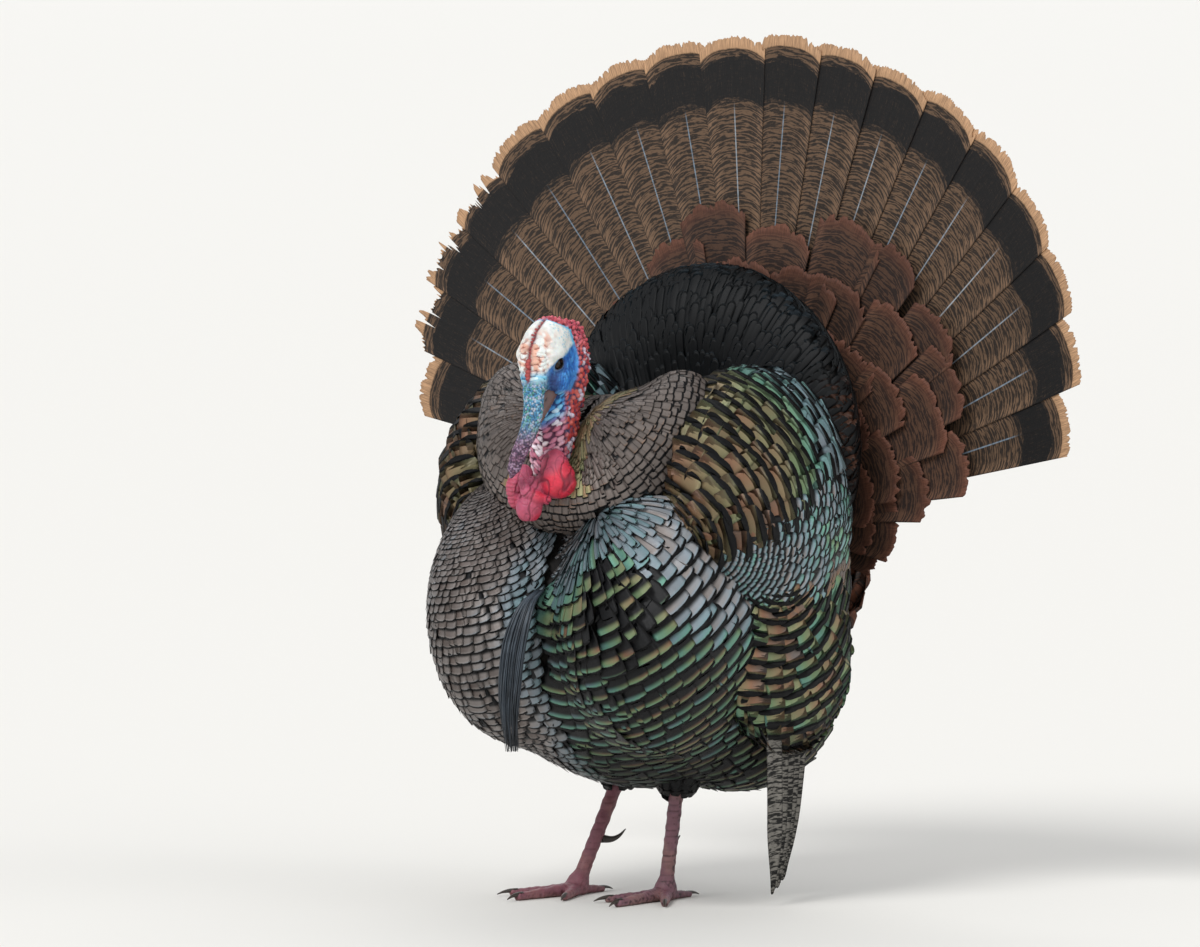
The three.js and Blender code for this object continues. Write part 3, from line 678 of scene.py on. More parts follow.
def feather_tips(field, origin, flow, reach, gap, width, stagger, keep, rng, lines=144, step=3.0):
    """Tips in rings round the origin, a gap apart, side by side in each ring.

    stagger(rho) is how far, as a share of the gap, tips stand before or behind their ring.
    """
    start = settle(field, np.asarray(origin, float)[None], 5)
    n = normal_of(field, start)
    first = flat_to(np.array([[0.31, 0.17, 1.0]]), n)
    turn = np.linspace(0, 2 * math.pi, lines, endpoint=False)[:, None]
    p = start + 2.0 * (first * np.cos(turn) + np.cross(n, first) * np.sin(turn))
    track = [p]
    for _ in range(int(reach / step)):
        way = flat_to(flow(p), normal_of(field, p))
        p = settle(field, p + way * step, 1)
        track.append(p)
    track = np.stack(track)
    spots, far = [], []
    rho, row = gap(0.0), 0
    while rho < reach - step:
        i = int(rho / step)
        ring = mix(track[i], track[i + 1], rho / step - i)
        ring = np.vstack([ring, ring[:1]])
        along = np.concatenate([[0], np.cumsum(np.linalg.norm(np.diff(ring, axis=0), axis=1))])
        count = max(4, int(round(along[-1] / width(rho))))
        at = (np.arange(count) + 0.37 * row + rng.uniform(-0.3, 0.3, count)) / count
        at = (at % 1.0) * along[-1]
        spot = np.stack([np.interp(at, along, ring[:, a]) for a in range(3)], 1)
        ahead = rng.uniform(-0.5, 0.5, (count, 1)) * stagger(rho) * gap(rho)
        spots.append(spot + flat_to(flow(spot), normal_of(field, spot)) * ahead)
        far.append(rho + ahead[:, 0])
        rho += gap(rho)
        row += 1
    spots, far = settle(field, np.concatenate(spots), 2), np.concatenate(far)
    chosen = keep(spots)
    return spots[chosen], far[chosen]


def spines(field, tip, flow, length, stations):
    """Middle lines of the feathers, followed back over the surface from their tips."""
    n = normal_of(field, tip)
    way = flat_to(flow(tip), n)
    rows = [(tip, n, way)]
    p = tip
    for share in np.diff(stations):
        p = settle(field, p - way * (length * share)[:, None], 1)
        n = normal_of(field, p)
        new, old = flat_to(flow(p), n), flat_to(way, n)
        way = np.where((new * old).sum(-1, keepdims=True) > 0.4, new, old)
        rows.append((p, n, way))
    return [np.stack(part, 1) for part in zip(*rows)]


def vane_set(line, stations, length, half, columns, rng, lift=1.0, slope=0.2, camber=0.12,
             roll=0.06, corner=0.5, twist=0.08, ragged=0.0, square=4.5, loose=0.0):
    """Thin cambered vanes along the middle lines, with the numbers their paint needs.

    corner is how far the corners of the tip fall back, square how late they begin to.
    """
    spine, normal, way = line
    count = len(spine)
    f = stations[None, :]
    u = np.linspace(-1, 1, columns)
    spread = (0.9 + 0.1 * smooth(f, 0, 0.12)) * (1 - 0.6 * smooth(f, 0.35, 1.0))
    wide = half[:, None] * spread
    side = np.cross(normal, way)
    height = np.reshape(lift, (-1, 1)) - slope * f * length[:, None]
    height = height + rng.normal(0, 0.008, (count, 1)) * length[:, None]
    loose = np.broadcast_to(loose, (count,))[:, None]
    height = height + 2.2 * loose
    tilt = (roll + 0.24 * loose + rng.normal(0, twist, (count, 1))) * half[:, None]
    up = height[..., None] + camber * wide[..., None] * (1 - u**2) + tilt[..., None] * u
    drop = corner * half[:, None, None] * np.abs(u) ** square * np.maximum(0, 1 - f / 0.34)[..., None]
    if ragged:
        drop = drop + ragged * rng.uniform(0, 1, (count, 1, columns)) * (f == 0)[..., None]
    verts = (spine[:, :, None] + side[:, :, None] * (wide[..., None] * u)[..., None]
             + normal[:, :, None] * up[..., None] - way[:, :, None] * drop[..., None])
    tip = np.broadcast_to((f * length[:, None])[..., None], up.shape)
    edge = (half[:, None] * np.ones_like(f))[..., None] * (1 - np.abs(u))
    across = np.broadcast_to(u, up.shape)
    return verts, np.stack([tip, edge, across], -1)


def vane_faces(rows, columns):
    """Faces of one closed vane: cambered top, flat underside, two thin ends."""
    at, top = grid_faces(rows, columns)
    under = np.stack([at[:-1, 0], at[1:, 0], at[1:, -1], at[:-1, -1]], -1)
    return np.concatenate([top, under]), np.stack([at[0, ::-1], at[-1]])


def repeat_faces(faces, count, stride):
    return (faces[None] + (np.arange(count) * stride)[:, None, None]).reshape(-1, faces.shape[1])


def patch_places(wanted, spacing):
    """The free grid place nearest to each wanted place on the unit square."""
    size = int(1 / spacing)
    reach = range(-14, 15)
    steps = sorted(((i, j) for i in reach for j in reach), key=lambda s: s[0]**2 + s[1]**2)
    taken = np.zeros((size, size), bool)
    places = np.empty((len(wanted), 2))
    for k, (u, v) in enumerate(np.clip((wanted * size).astype(int), 0, size - 1)):
        for i, j in steps:
            a, b = u + i, v + j
            if 0 <= a < size and 0 <= b < size and not taken[a, b]:
                break
        taken[a, b] = True
        places[k] = (a + 0.5) / size, (b + 0.5) / size
    return places


def unwrap(p):
    """Place on a map rolled round the body's upright axis."""
    turn = np.arctan2(p[:, 0], -(p[:, 1] - UNWRAP["axis"])) / (2 * math.pi)
    return np.stack([0.5 + turn, np.clip(p[:, 2] / UNWRAP["height"], 0, 1)], 1)


class Coat:
    """One joined piece of feathers, each with a patch of its own on the OFBake map.

    spacing is the pitch of the patches on the unit square and patch their size.
    """

    def __init__(self, name, material, spacing, patch):
        self.name, self.material = name, material
        self.spacing, self.patch = spacing, patch
        self.sets = []

    def add(self, verts, vane, paint, row):
        self.sets.append((verts, vane, paint, row))

    def build(self):
        """Joins the sets; ends holds the end faces by their number of corners."""
        verts, vane, paint, rows_of, uv, quads, ends, start = [], [], [], [], [], [], {}, 0
        roots = np.concatenate([part[0][:, -1, part[0].shape[2] // 2] for part in self.sets])
        places = patch_places(unwrap(roots), self.spacing)
        done = 0
        for v, marks, color, row in self.sets:
            count, rows, columns = v.shape[:3]
            faces, caps = vane_faces(rows, columns)
            stride = rows * columns
            quads.append(repeat_faces(faces, count, stride) + start)
            ends.setdefault(columns, []).append(repeat_faces(caps, count, stride) + start)
            shown = np.linspace(0.5, -0.5, rows)[None, :, None]
            sheet = np.stack(np.broadcast_arrays(marks[..., 2] * 0.5, shown), -1) * self.patch
            uv.append((places[done:done + count, None, None] + sheet).reshape(-1, 2))
            verts.append(v.reshape(-1, 3))
            vane.append(marks.reshape(-1, 3))
            for numbers, given in ((paint, color), (rows_of, row)):
                numbers.append(np.repeat(given, stride, axis=0))
            start += count * stride
            done += count
        faces = [np.concatenate(quads)] + [np.concatenate(part) for part in ends.values()]
        points = {"vane": np.concatenate(vane), "coat": np.concatenate(paint),
                  "row": np.concatenate(rows_of)}
        piece = build_mesh(self.name, np.concatenate(verts), faces, self.material,
                           points, np.concatenate(uv))
        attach(piece, "root")
        print(self.name, done, "feathers", sum(len(f) * (f.shape[1] - 2) for f in faces), "triangles")
        return piece


def clear_of(others, depth=COAT_DEPTH):
    """True where a point isn't buried deeper than depth inside the other bodies."""
    def test(p):
        return np.all([field(p) > -depth for field in others], axis=0)
    return test


def paint_rows(hue, tone, black, rng, count):
    """Hue, tone, black border and a chance number of each feather."""
    parts = [np.broadcast_to(np.asarray(v, float), (count,)) for v in (hue, tone, black)]
    return np.stack(parts + [rng.uniform(0, 1, count)], -1)


def grow(coat, field, origin, reach, gap, width, keep, look, seed, drift=(0, 0, 0), overlap=3.0,
         stations=STATIONS, columns=7, play=0.6, shaded=0.35, sliver=None,
         stagger=lambda rho: 0.08, lift=1.0, **shape):
    """Feathers over one body; look(p, far) gives hue, tone and black border.

    gap and width are the ring spacing and the pitch in a ring for a distance from the origin.
    play is how much each feather's colour varies, shaded the dark share of each row and
    lift how far its tips stand off (each a number or a function of place), and sliver(p)
    says where feathers twist out of their row with many of them lost in the shade.
    """
    rng = np.random.default_rng(seed)
    flow = away(settle(field, np.asarray(origin, float)[None], 5)[0], drift)
    tip, far = feather_tips(field, origin, flow, reach, gap, width, stagger, keep, rng)
    spacing = np.array([gap(value) for value in far])
    half = np.array([width(value) for value in far]) * VANE["half"]
    half = half * rng.uniform(*VANE["widths"], len(tip))
    length = spacing * overlap * rng.uniform(*VANE["lengths"], len(tip)) + VANE["root"]
    line = spines(field, tip, flow, length, stations)
    loose = sliver(tip) if sliver else np.zeros(len(tip))
    shaded, play, lift = [value(tip) if callable(value) else value for value in (shaded, play, lift)]
    verts, vane = vane_set(line, stations, length, half * (1 - 0.2 * loose), columns, rng, loose=loose,
                           lift=lift, **shape)
    hue, tone, black = look(tip, far)
    hidden = smooth(rng.uniform(0, 1, len(tip)), 0.56, 0.6)
    shaded = mix(shaded, mix(0.4, 1.2, hidden), loose)
    black = black * (1 - 0.5 * loose)
    coat.add(verts, vane, paint_rows(hue, tone, black, rng, len(tip)),
             np.stack([spacing, shaded, np.broadcast_to(play, (len(tip),))], -1))


def grading(low, high, start, end):
    return lambda rho: mix(low, high, float(smooth(np.float64(rho), start, end)))


# ---- body tracts ----
# Shape of the big bordered feathers of shoulder and flank, and the grid of small feathers.
BORDERED = {"slope": 0.24, "camber": 0.04, "roll": 0.05, "corner": 0.24, "square": 2.4,
            "twist": 0.07, "ragged": 0.7, "stagger": lambda rho: 0.3, "columns": 9}
SMALL = {"stations": SMALL_STATIONS, "columns": 5}


def breast(side, plume):
    """Half of the breast, belly and flank; the lobes meet in the groove at x 0."""
    coat = Coat("breast_left" if side > 0 else "breast_right", plume, 0.0046, 0.0036)
    around = clear_of([WINGS[1], WINGS[-1], BACK, COLLAR, UNDERTAIL])

    def keep(p):
        return (p[:, 0] * side > -1.0) & around(p) & (p[:, 1] < 20)

    def look(p, far):
        x, z = np.abs(p[:, 0]), p[:, 2]
        low = smooth(z, 172, 118) * smooth(p[:, 1], -150, -200)
        swirl = wander(p, 26, 5)
        if side > 0:
            upper = smooth(z, 240, 300) * smooth(x, 70, 105)
            flank = smooth(p[:, 1], -230, -170) * smooth(z, 280, 235)
            hue = 0.62 + 0.14 * swirl + 0.14 * wander(p, 9, 6)
            hue = mix(hue, 0.16 + 0.08 * swirl, upper)
            hue = mix(hue, 0.74 + 0.14 * swirl, flank * 0.8)
            streak = smooth(far, 120, 70)
            hue = mix(hue, 0.28 + 0.14 * wander(p, 9, 7) + 0.55 * smooth(z, 310, 265), streak)
            hue = mix(hue, 0.66 + 0.1 * wander(p, 6, 9), sliver(p))
            black = mix(0.5, 4.0, smooth(far, 80, 130)) + 1.2 * flank
            tone = 0.76 + 0.1 * wander(p, 30, 8) - 0.1 * streak + 0.12 * flank
            tone = tone + 0.28 * upper * (1 - sliver(p))
        else:
            rim = np.maximum(smooth(x, 44, 20), smooth(x, 160, 182))
            hue = 0.05 + 0.08 * swirl
            hue = mix(hue, 0.45 + 0.2 * swirl, rim * 0.7)
            black = mix(0.5, 1.9, smooth(far, 60, 200))
            tone = 0.84 + 0.08 * wander(p, 30, 8)
        return hue, tone * (1 - 0.8 * low), black

    def sliver(p):
        return smooth(np.linalg.norm((p - (110, -362, 292)) * (1.0, 0.6, 0.8), axis=1), 56, 30)

    def near_top(p):
        return smooth(np.linalg.norm(p - start, axis=1), 125, 85)

    def shade(p):
        return mix(0.5, 0.16, smooth(p[:, 2], 232, 290)) - 1.7 * near_top(p)

    def mixed(p):
        calm = smooth(p[:, 2], 240, 300) * smooth(np.abs(p[:, 0]), 100, 125)
        return mix(1.0, 0.4, np.maximum(calm, near_top(p)))

    if side > 0:
        start = np.array([55.0, -340.0, 380.0])
        grow(coat, TRUNK, (55, -305, 380), 680, grading(30.0, 14.5, 65, 112),
             grading(3.2, 20.0, 80, 150), keep, look, 12, drift=(0, 0.45, -0.15), slope=0.16,
             camber=0.04, roll=0.05, corner=0.2, square=2.6, play=mixed, shaded=shade, sliver=sliver,
             twist=0.05, columns=9,
             stagger=grading(1.1, 0.28, 80, 130), overlap=2.4, ragged=1.0)
    else:
        grow(coat, TRUNK, (-88, -296, 378), 680, grading(4.5, 9.5, 35, 190),
             grading(7.0, 14.0, 45, 190), keep, look, 10, drift=(0, 0.45, -0.15), slope=0.13,
             camber=0.04, roll=0.05, corner=0.22, play=0.3, shaded=0.06, square=2.2, twist=0.04,
             stagger=lambda rho: 0.25, **SMALL)
    return coat.build()


def wing_coat(side, plume):
    """Shoulder lobe of big bordered feathers over a panel of small coverts."""
    coat = Coat("wing_coat_left" if side > 0 else "wing_coat_right", plume, 0.005, 0.004)
    whole = WINGS[side]
    around = clear_of([TRUNK, BACK, COLLAR, UNDERTAIL], 5.0)

    def seam_height(p):
        return p[:, 2] - 352 - 0.6 * (p[:, 1] + 265) + 5 * wander(p, 16, 19)

    def on_lobe(p):
        return around(p) & (seam_height(p) > -4)

    def on_panel(p):
        return around(p) & (seam_height(p) < 10) & (p[:, 2] > 300 + 8 * wander(p, 20, 17))

    def on_flank(p):
        return around(p) & (seam_height(p) < 0) & (p[:, 2] < 310 + 8 * wander(p, 20, 17))

    def lobe_look(p, far):
        swirl = wander(p, 30, 15)
        rear = smooth(p[:, 1], -225, -130)
        low = smooth(p[:, 2], 420, 345) * (1 - rear)
        hue = mix(0.8 + 0.08 * swirl, 0.32 + 0.1 * swirl, rear)
        hue = mix(hue, 0.88, low * 0.7)
        return hue, 0.76 + 0.4 * rear - 0.14 * low, mix(1.4, 2.7, smooth(far, 30, 80))

    def lobe_lift(p):
        return 1.8 + 5.0 * smooth(p[:, 1], -160, -115) * smooth(p[:, 2], 395, 440)

    def panel_look(p, far):
        swirl = wander(p, 22, 16)
        brown = smooth(p[:, 1], -150, -125) * smooth(p[:, 2], 350, 325)
        hue = np.where(brown > 0.5, 1.0, 0.3 + 0.17 * swirl)
        return hue, mix(1.12, 0.85, brown), mix(1.5, 3.0, smooth(far, 30, 90)) * (1 - 0.6 * brown)

    def flank_look(p, far):
        swirl = wander(p, 18, 18)
        low = smooth(p[:, 2], 190, 150)
        return 0.72 + 0.2 * swirl, 0.95 - 0.5 * low, 3.4

    grow(coat, whole, (side * 116, -284, 372), 330, grading(6.0, 15.5, 15, 70),
         grading(8.0, 22.0, 15, 80), on_lobe, lobe_look, 31 + side, drift=(0, 0.4, 0.1),
         play=0.32, shaded=-0.28, lift=lobe_lift, **BORDERED)
    grow(coat, whole, (side * 156, -300, 356), 350, grading(6.0, 10.5, 40, 140),
         grading(4.6, 12.5, 40, 140), on_panel, panel_look, 41 + side, drift=(0, 0.5, -0.5),
         slope=0.18, camber=0.12, corner=0.3, columns=5, play=0.7, shaded=0.24)
    grow(coat, whole, (side * 168, -205, 352), 330, grading(8.0, 15.0, 15, 90),
         grading(8.0, 21.0, 15, 90), on_flank, flank_look, 91 + side, drift=(0, 0.25, -0.4),
         play=0.8, shaded=-0.16, lift=1.8, **BORDERED)
    return coat.build()


def collar_coat(plume):
    """Fine puffed feathers round the neck."""
    coat = Coat("collar_coat", plume, 0.004, 0.0031)
    near = clear_of([TRUNK, WINGS[1], WINGS[-1], BACK], 4.0)

    def keep_side(side):
        return lambda p: near(p) & (p[:, 0] * side > -2) & (to_neck(p) > -9)

    def look(p, far):
        swirl = wander(p, 20, 25)
        crest = smooth(far, 75, 120)
        gold = smooth(wander(p, 24, 26), 0.0, 0.7) * (1 - crest)
        gold = np.maximum(gold, smooth(p[:, 2], 440, 405)) * (1 - crest)
        hue = mix(1.08 + 0.08 * swirl, 0.72 + 0.06 * swirl, 0.9 * smooth(gold + 0.12 * swirl, 0.5, 0.62))
        low = smooth(p[:, 2], 450, 410) * smooth(p[:, 1], -270, -300)
        tone = 1.0 - 0.1 * swirl - 0.1 * crest + 0.22 * low
        return hue, tone, mix(0.12, 2.3, smooth(far, 62, 118))

    def shade(p):
        return -0.25 - 1.4 * smooth(to_neck(p), 60, 35)

    for side in (1, -1):
        grow(coat, COLLAR, (side * 26, -300, 484), 270, grading(14.0, 8.0, 45, 105),
             grading(2.0, 7.0, 45, 125), keep_side(side), look, 51 + side, drift=(0, 0.2, -0.25),
             slope=0.06, camber=0.03, roll=0.02, corner=0.14, square=2.0, twist=0.03, lift=0.6,
             overlap=2.6, play=0.22, shaded=shade, stagger=grading(1.1, 0.35, 60, 110), **SMALL)
    return coat.build()


def to_neck(p):
    """Distance from the bare neck and head."""
    local = to_head(p)
    return np.minimum(NECK(local), HEAD(local))


def dome_coat(rump):
    """Erect black rump feathers."""
    coat = Coat("dome_coat", rump, 0.0042, 0.0032)
    near = clear_of([TRUNK, WINGS[1], WINGS[-1], COLLAR], 6.0)

    def look(p, far):
        rim = smooth(p[:, 0], 122, 160) * smooth(p[:, 2], 570, 480)
        hue = mix(0.1 + 0.2 * wander(p, 22, 35), 0.85, rim)
        return hue, 0.5 + 0.4 * wander(p, 15, 36), 2.0

    grow(coat, BACK, (0, -150, 372), 380, grading(12.0, 20.0, 20, 120), grading(3.0, 6.4, 20, 130),
         near, look, 61, drift=(0, 0.1, 0.2), slope=0.05, camber=0.12, roll=0.08, corner=1.0,
         overlap=2.4, square=2.2, lift=0.6, twist=0.06, stagger=lambda rho: 1.0, **SMALL)
    return coat.build()


def undertail_coat(barred):
    """Loose barred feathers under and behind the root of the fan."""
    coat = Coat("undertail_coat", barred, 0.008, 0.0064)
    near = clear_of([TRUNK, WINGS[1], WINGS[-1]], 6.0)

    def keep(p):
        return near(p) & ~((p[:, 1] < -6) & (p[:, 2] > 300))

    def look(p, far):
        return 0.5, 0.8 + 0.2 * wander(p, 18, 45), 0.0

    grow(coat, UNDERTAIL, (0, -34, 214), 330, grading(10, 17, 20, 90), grading(12, 26, 20, 90),
         keep, look, 71, drift=(0, 0, 0.3), slope=0.14, camber=0.1, corner=0.8, ragged=2.5,
         columns=9)
    return coat.build()


def thigh_coat(rump):
    coat = Coat("thigh_coat", rump, 0.005, 0.004)
    for k, foot in enumerate(FEET):
        field = THIGHS[foot["name"]]
        top = (foot["hock"][0], foot["hock"][1] + 2, 225)
        grow(coat, field, top, 150, grading(7, 8.5, 20, 90), grading(8, 10, 20, 90),
             clear_of([TRUNK], 8.0), lambda p, far: (0.5, 0.4, 1.5), 81 + k, drift=(0, 0, -0.6),
             slope=0.12, corner=0.8, **SMALL)
    return coat.build()


# ---- tail fan ----
def fan_depth(radius, angle):
    forward = FAN["side_forward"] * (radius / FAN["side"]) ** 2 * np.sin(angle) ** 2
    backward = FAN["mid_back"] * (radius / FAN["mid"]) * np.cos(angle) ** 2
    return backward - forward


def fan_point(radius, angle, depth):
    return np.stack(np.broadcast_arrays(
        radius * np.sin(angle),
        fan_depth(radius, angle) + depth - FAN["forward"],
        FAN["height"] + radius * np.cos(angle)), -1)


def tip_radius(angle):
    side = np.radians(FAN["side_angle"])
    even = mix(FAN["mid"], FAN["side"], np.abs(angle / side) ** 6)
    return even + FAN["skew"] * np.sin(2 * angle)


def plate(front, back):
    """Points and quads of a thin closed plate from two grids of equal size."""
    rows, columns = front.shape[:2]
    at, face = grid_faces(rows, columns)
    size = rows * columns
    rim = np.concatenate([at[0, :], at[1:, -1], at[-1, -2::-1], at[-2::-1, 0]])
    a, b = rim[:-1], rim[1:]
    edge = np.stack([b, a, a + size, b + size], -1)
    quads = np.concatenate([face, face[:, ::-1] + size, edge])
    return np.concatenate([front.reshape(-1, 3), back.reshape(-1, 3)]), quads


def notches(columns, rng, count, deepest, worn):
    """A ragged outline: fine unevenness, a few narrowing splits and stretches worn short."""
    at = np.arange(columns)
    drop = rng.uniform(0, 2.6, columns)
    bare = smooth(np.sin(at * 0.16 + rng.uniform(0, 6)), -0.5, 0.4)
    drop = drop + worn * bare * rng.uniform(0.7, 1, columns)
    for _ in range(count):
        middle, reach = rng.uniform(2, columns - 2), rng.uniform(1.2, 3.0)
        depth = rng.uniform(0.3, 1.0) ** 1.5 * deepest
        drop = np.maximum(drop, depth * (1 - np.abs(at - middle) / reach))
    return drop


class Sheets:
    """Large single feathers joined in one piece, each with an island of its own."""

    def __init__(self, name, material, across, down):
        self.name, self.material = name, material
        self.across, self.down = across, down
        self.parts, self.vane, self.paint, self.uv = [], [], [], []

    def add(self, front, back, vane, paint):
        verts, quads = plate(front, back)
        rows, columns = front.shape[:2]
        k = len(self.parts)
        u, v = np.meshgrid(np.linspace(0.06, 0.94, columns), np.linspace(0.03, 0.97, rows))
        corner = np.array([k % self.across / self.across, k // self.across / self.down])
        half = np.stack([u * 0.5 / self.across, v / self.down], -1) + corner
        shift = np.array([0.5 / self.across, 0.0])
        self.uv.append(np.concatenate([half.reshape(-1, 2), (half + shift).reshape(-1, 2)]))
        self.parts.append((verts, quads))
        self.vane.append(np.concatenate([vane.reshape(-1, 3)] * 2))
        self.paint.append(np.tile(np.asarray(paint, float), (len(verts), 1)))

    def build(self):
        verts, quads = join_parts(self.parts)
        points = {"vane": np.concatenate(self.vane), "coat": np.concatenate(self.paint)}
        piece = build_mesh(self.name, verts, [quads], self.material, points,
                           np.concatenate(self.uv))
        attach(piece, "root")
        print(self.name, len(self.parts), "sheets", 2 * len(quads), "triangles")
        return piece


def fan_sheet(angle, half, inner, outer, depth, thick, grid, rng, round_by, edge, bow=0.0):
    """Grids of one feather that lies in the fan, and its tip, edge and across numbers."""
    rows, columns = grid
    t = np.concatenate([np.linspace(0, 0.8, rows // 2, endpoint=False),
                        np.linspace(0.8, 1, rows - rows // 2)])[:, None]
    u = np.linspace(-1, 1, columns)[None]
    contour = outer - round_by * np.abs(u) ** 2.8
    ragged = contour - notches(columns, rng, **edge)[None]
    radius = mix(inner, ragged, t)
    spread = half * (0.62 + 0.38 * smooth(t, 0.0, 0.35))
    theta = angle + u * spread
    ridge = 0.5 * thick + (0.9 * (1 - 0.7 * t)) * np.exp(-(u / 0.05) ** 2)
    middle = depth + (bow * (u**2) * smooth(t, 0.1, 0.7) + rng.normal(0, 0.3))
    front = fan_point(radius, theta, middle - ridge)
    back = fan_point(radius, theta, middle + ridge)
    tip = (contour - radius) * np.ones_like(theta)
    return front, back, np.stack([tip, (1 - np.abs(u)) * spread * radius, u * spread * radius], -1)


def tail_fan(material):
    rng = np.random.default_rng(201)
    sheets = Sheets("tail_fan", material, 6, 3)
    first, last = np.radians(FAN["first"]), np.radians(FAN["last"])
    pitch = (last - first) / (FAN["count"] - 1)
    for i in range(FAN["count"]):
        rank = abs(i - (FAN["count"] - 1) / 2) - 0.5 + (1 if i >= FAN["count"] / 2 else 0)
        angle = first + i * pitch
        edge = WORN_EDGE if 1 <= i < 4 else SOUND_EDGE
        front, back, vane = fan_sheet(
            angle, pitch * 0.58, FAN["base"], tip_radius(angle) + rng.uniform(-2, 5),
            rank * FAN["pitch_depth"], 0.55, (22, 71), rng, 11.0, edge)
        tone = rng.uniform(0.88, 1.06)
        sheets.add(front, back, vane, (0.5, tone, 0.0, rng.uniform()))
    return sheets.build()


def covert_reach(angle):
    """Length of the coverts; they are longer on the bird's left, where the photo shows them."""
    turn = np.abs(angle) / math.radians(90)
    loss = COVERT["left_loss"] * turn**7 - 16 if angle > 0.3 else COVERT["right_loss"] * turn**2
    return COVERT["outer"] - loss


def tail_coverts(material):
    """Ranks of chestnut-tipped coverts on the front of the fan."""
    rng = np.random.default_rng(211)
    sheets = Sheets("tail_covert_fan", material, 10, 9)
    span = math.radians(COVERT["half_span"])
    for rank, (share, count) in enumerate(COVERT["ranks"]):
        for k in range(count):
            angle = mix(-span, span, (k + 0.5 + rng.uniform(-0.28, 0.28)) / count)
            outer = covert_reach(angle) * share + rng.uniform(-22, 5)
            width = rng.uniform(*COVERT["half_width"]) * (0.85 + 0.15 * share)
            depth = -4.0 - 3.4 * rank - rng.uniform(0, 2.4)
            front, back, vane = fan_sheet(
                angle, width / outer, max(outer - 150, 50), outer, depth, 0.5, (14, 41), rng,
                width * 0.3, COVERT_EDGE, bow=rng.uniform(-4, -1))
            tone = rng.uniform(0.74, 1.06)
            sheets.add(front, back, vane, (0.5, tone, 0.0, rng.uniform()))
    return sheets.build()


def dropped_primary(k):
    """Left wing: tips at the floor."""
    root = np.array([168 - 5 * k, -200 + 34 * k, 222 + 8 * k])
    fall = unit(np.array([-0.04 - 0.03 * k, 0.14 - 0.05 * k, -1]))
    return root, fall, unit(np.array([0.25, 1, 0.1])), (root[2] - 8 - 5 * k) / -fall[2], -12.0


def folded_primary(k):
    """Right wing: laid back along the flank, out of the photo's sight."""
    root = np.array([-165 + 6 * k, -124, 226 - 16 * k])
    return root, unit(np.array([0.3, 0.88, -0.34])), unit(np.array([0.12, 0.3, 1])), 176 - 10 * k, 6.0


def primaries(material):
    """Black and white barred flight feathers of each wing."""
    rng = np.random.default_rng(221)
    sheets = Sheets("primaries", material, 4, 3)
    for place in (dropped_primary, folded_primary):
        for i in range(PRIMARY["count"]):
            root, fall, across, length, bend = place(i * 0.5)
            flat = np.cross(fall, across)
            t = np.linspace(0, 1, 26)[:, None]
            u = np.linspace(-1, 1, 21)[None]
            half = PRIMARY["half_width"] * (0.6 + 0.4 * smooth(t, 0, 0.3))
            half = half * (1 - 0.78 * smooth(t, 0.66, 1.06))
            down = t * (length - rng.uniform(0, 8)) - 6 * np.abs(u) ** 2.5 * smooth(t, 0.8, 1.0)
            middle = (root + fall * down[..., None] + across * (u * half)[..., None]
                      + np.array([bend, 0, 0]) * (t**2)[..., None])
            ridge = 0.35 + 1.0 * (1 - 0.7 * t) * np.exp(-((u + 0.2) / 0.09) ** 2)
            cup = (2.0 * u**2 * np.ones_like(t))[..., None] * flat
            front = middle + cup + flat * ridge[..., None]
            back = middle + cup - flat * ridge[..., None]
            vane = np.stack([length - down, (1 - np.abs(u)) * half, u * half], -1)
            sheets.add(back, front, vane, (0.5, rng.uniform(0.85, 1.0), 0.0, rng.uniform()))
    return sheets.build()


# ---- skin ----
def eye_frame(side):
    centre = np.array([side * EYE["side"], -EYE["forward"], EYE["height"]])
    gaze = unit(np.array([side * 0.93, -0.36, 0.05]))
    along = unit(np.array([side * -0.25, -0.72, -0.64]))
    along = unit(along - gaze * (along @ gaze))
    return centre, gaze, along, np.cross(gaze, along)


def eye_slit(p, side):
    """Distance from the edge of the opening between the lids, seen along the gaze."""
    centre, _, along, across = eye_frame(side)
    long, short = EYE["opening"]
    q = p - centre
    return (np.sqrt((q @ along / long) ** 2 + (q @ across / short) ** 2) - 1) * short


def head_shape(p):
    face = soft_least([HEAD(p), NECK(p)], 1.2)
    for side in (1, -1):
        centre, gaze, _, _ = eye_frame(side)
        q = p - centre
        shell = np.sqrt((q * q).sum(-1)) - (EYE["radius"] + EYE["lid"])
        face = soft_least([face, shell], 1.0)
        hole = np.maximum(eye_slit(p, side), 1.5 - q @ gaze)
        face = np.maximum(face, -hole)
        face = np.maximum(face, -lump_distance(p, lump(side_of(side, EAR["at"]), EAR["size"])))
    face = soft_least([face, snood_field(p), WATTLES(p)], 0.9)
    return np.maximum(face, HEAD_SKIN_END - p[..., 2])


def bead_centres(verts, weight, spacing, rng):
    """Evenly scattered points of the surface, at least a spacing apart."""
    chosen, grid = [], {}
    for i in rng.permutation(np.flatnonzero(weight > 0.5))[:BEAD_TRIES]:
        spot = verts[i]
        key = tuple((spot // spacing).astype(int))
        near = (grid.get((key[0] + a, key[1] + b, key[2] + c), ())
                for a in (-1, 0, 1) for b in (-1, 0, 1) for c in (-1, 0, 1))
        if all(((spot - other) @ (spot - other)) > spacing**2 for group in near for other in group):
            grid.setdefault(key, []).append(spot)
            chosen.append(spot)
    return np.array(chosen)


def nearest(verts, centres):
    """Distance to the nearest centre and its number, for each point."""
    tree = KDTree(len(centres))
    for i, spot in enumerate(centres):
        tree.insert(Vector(spot), i)
    tree.balance()
    found = [tree.find(Vector(spot)) for spot in verts]
    return np.array([f[2] for f in found]), np.array([f[1] for f in found])


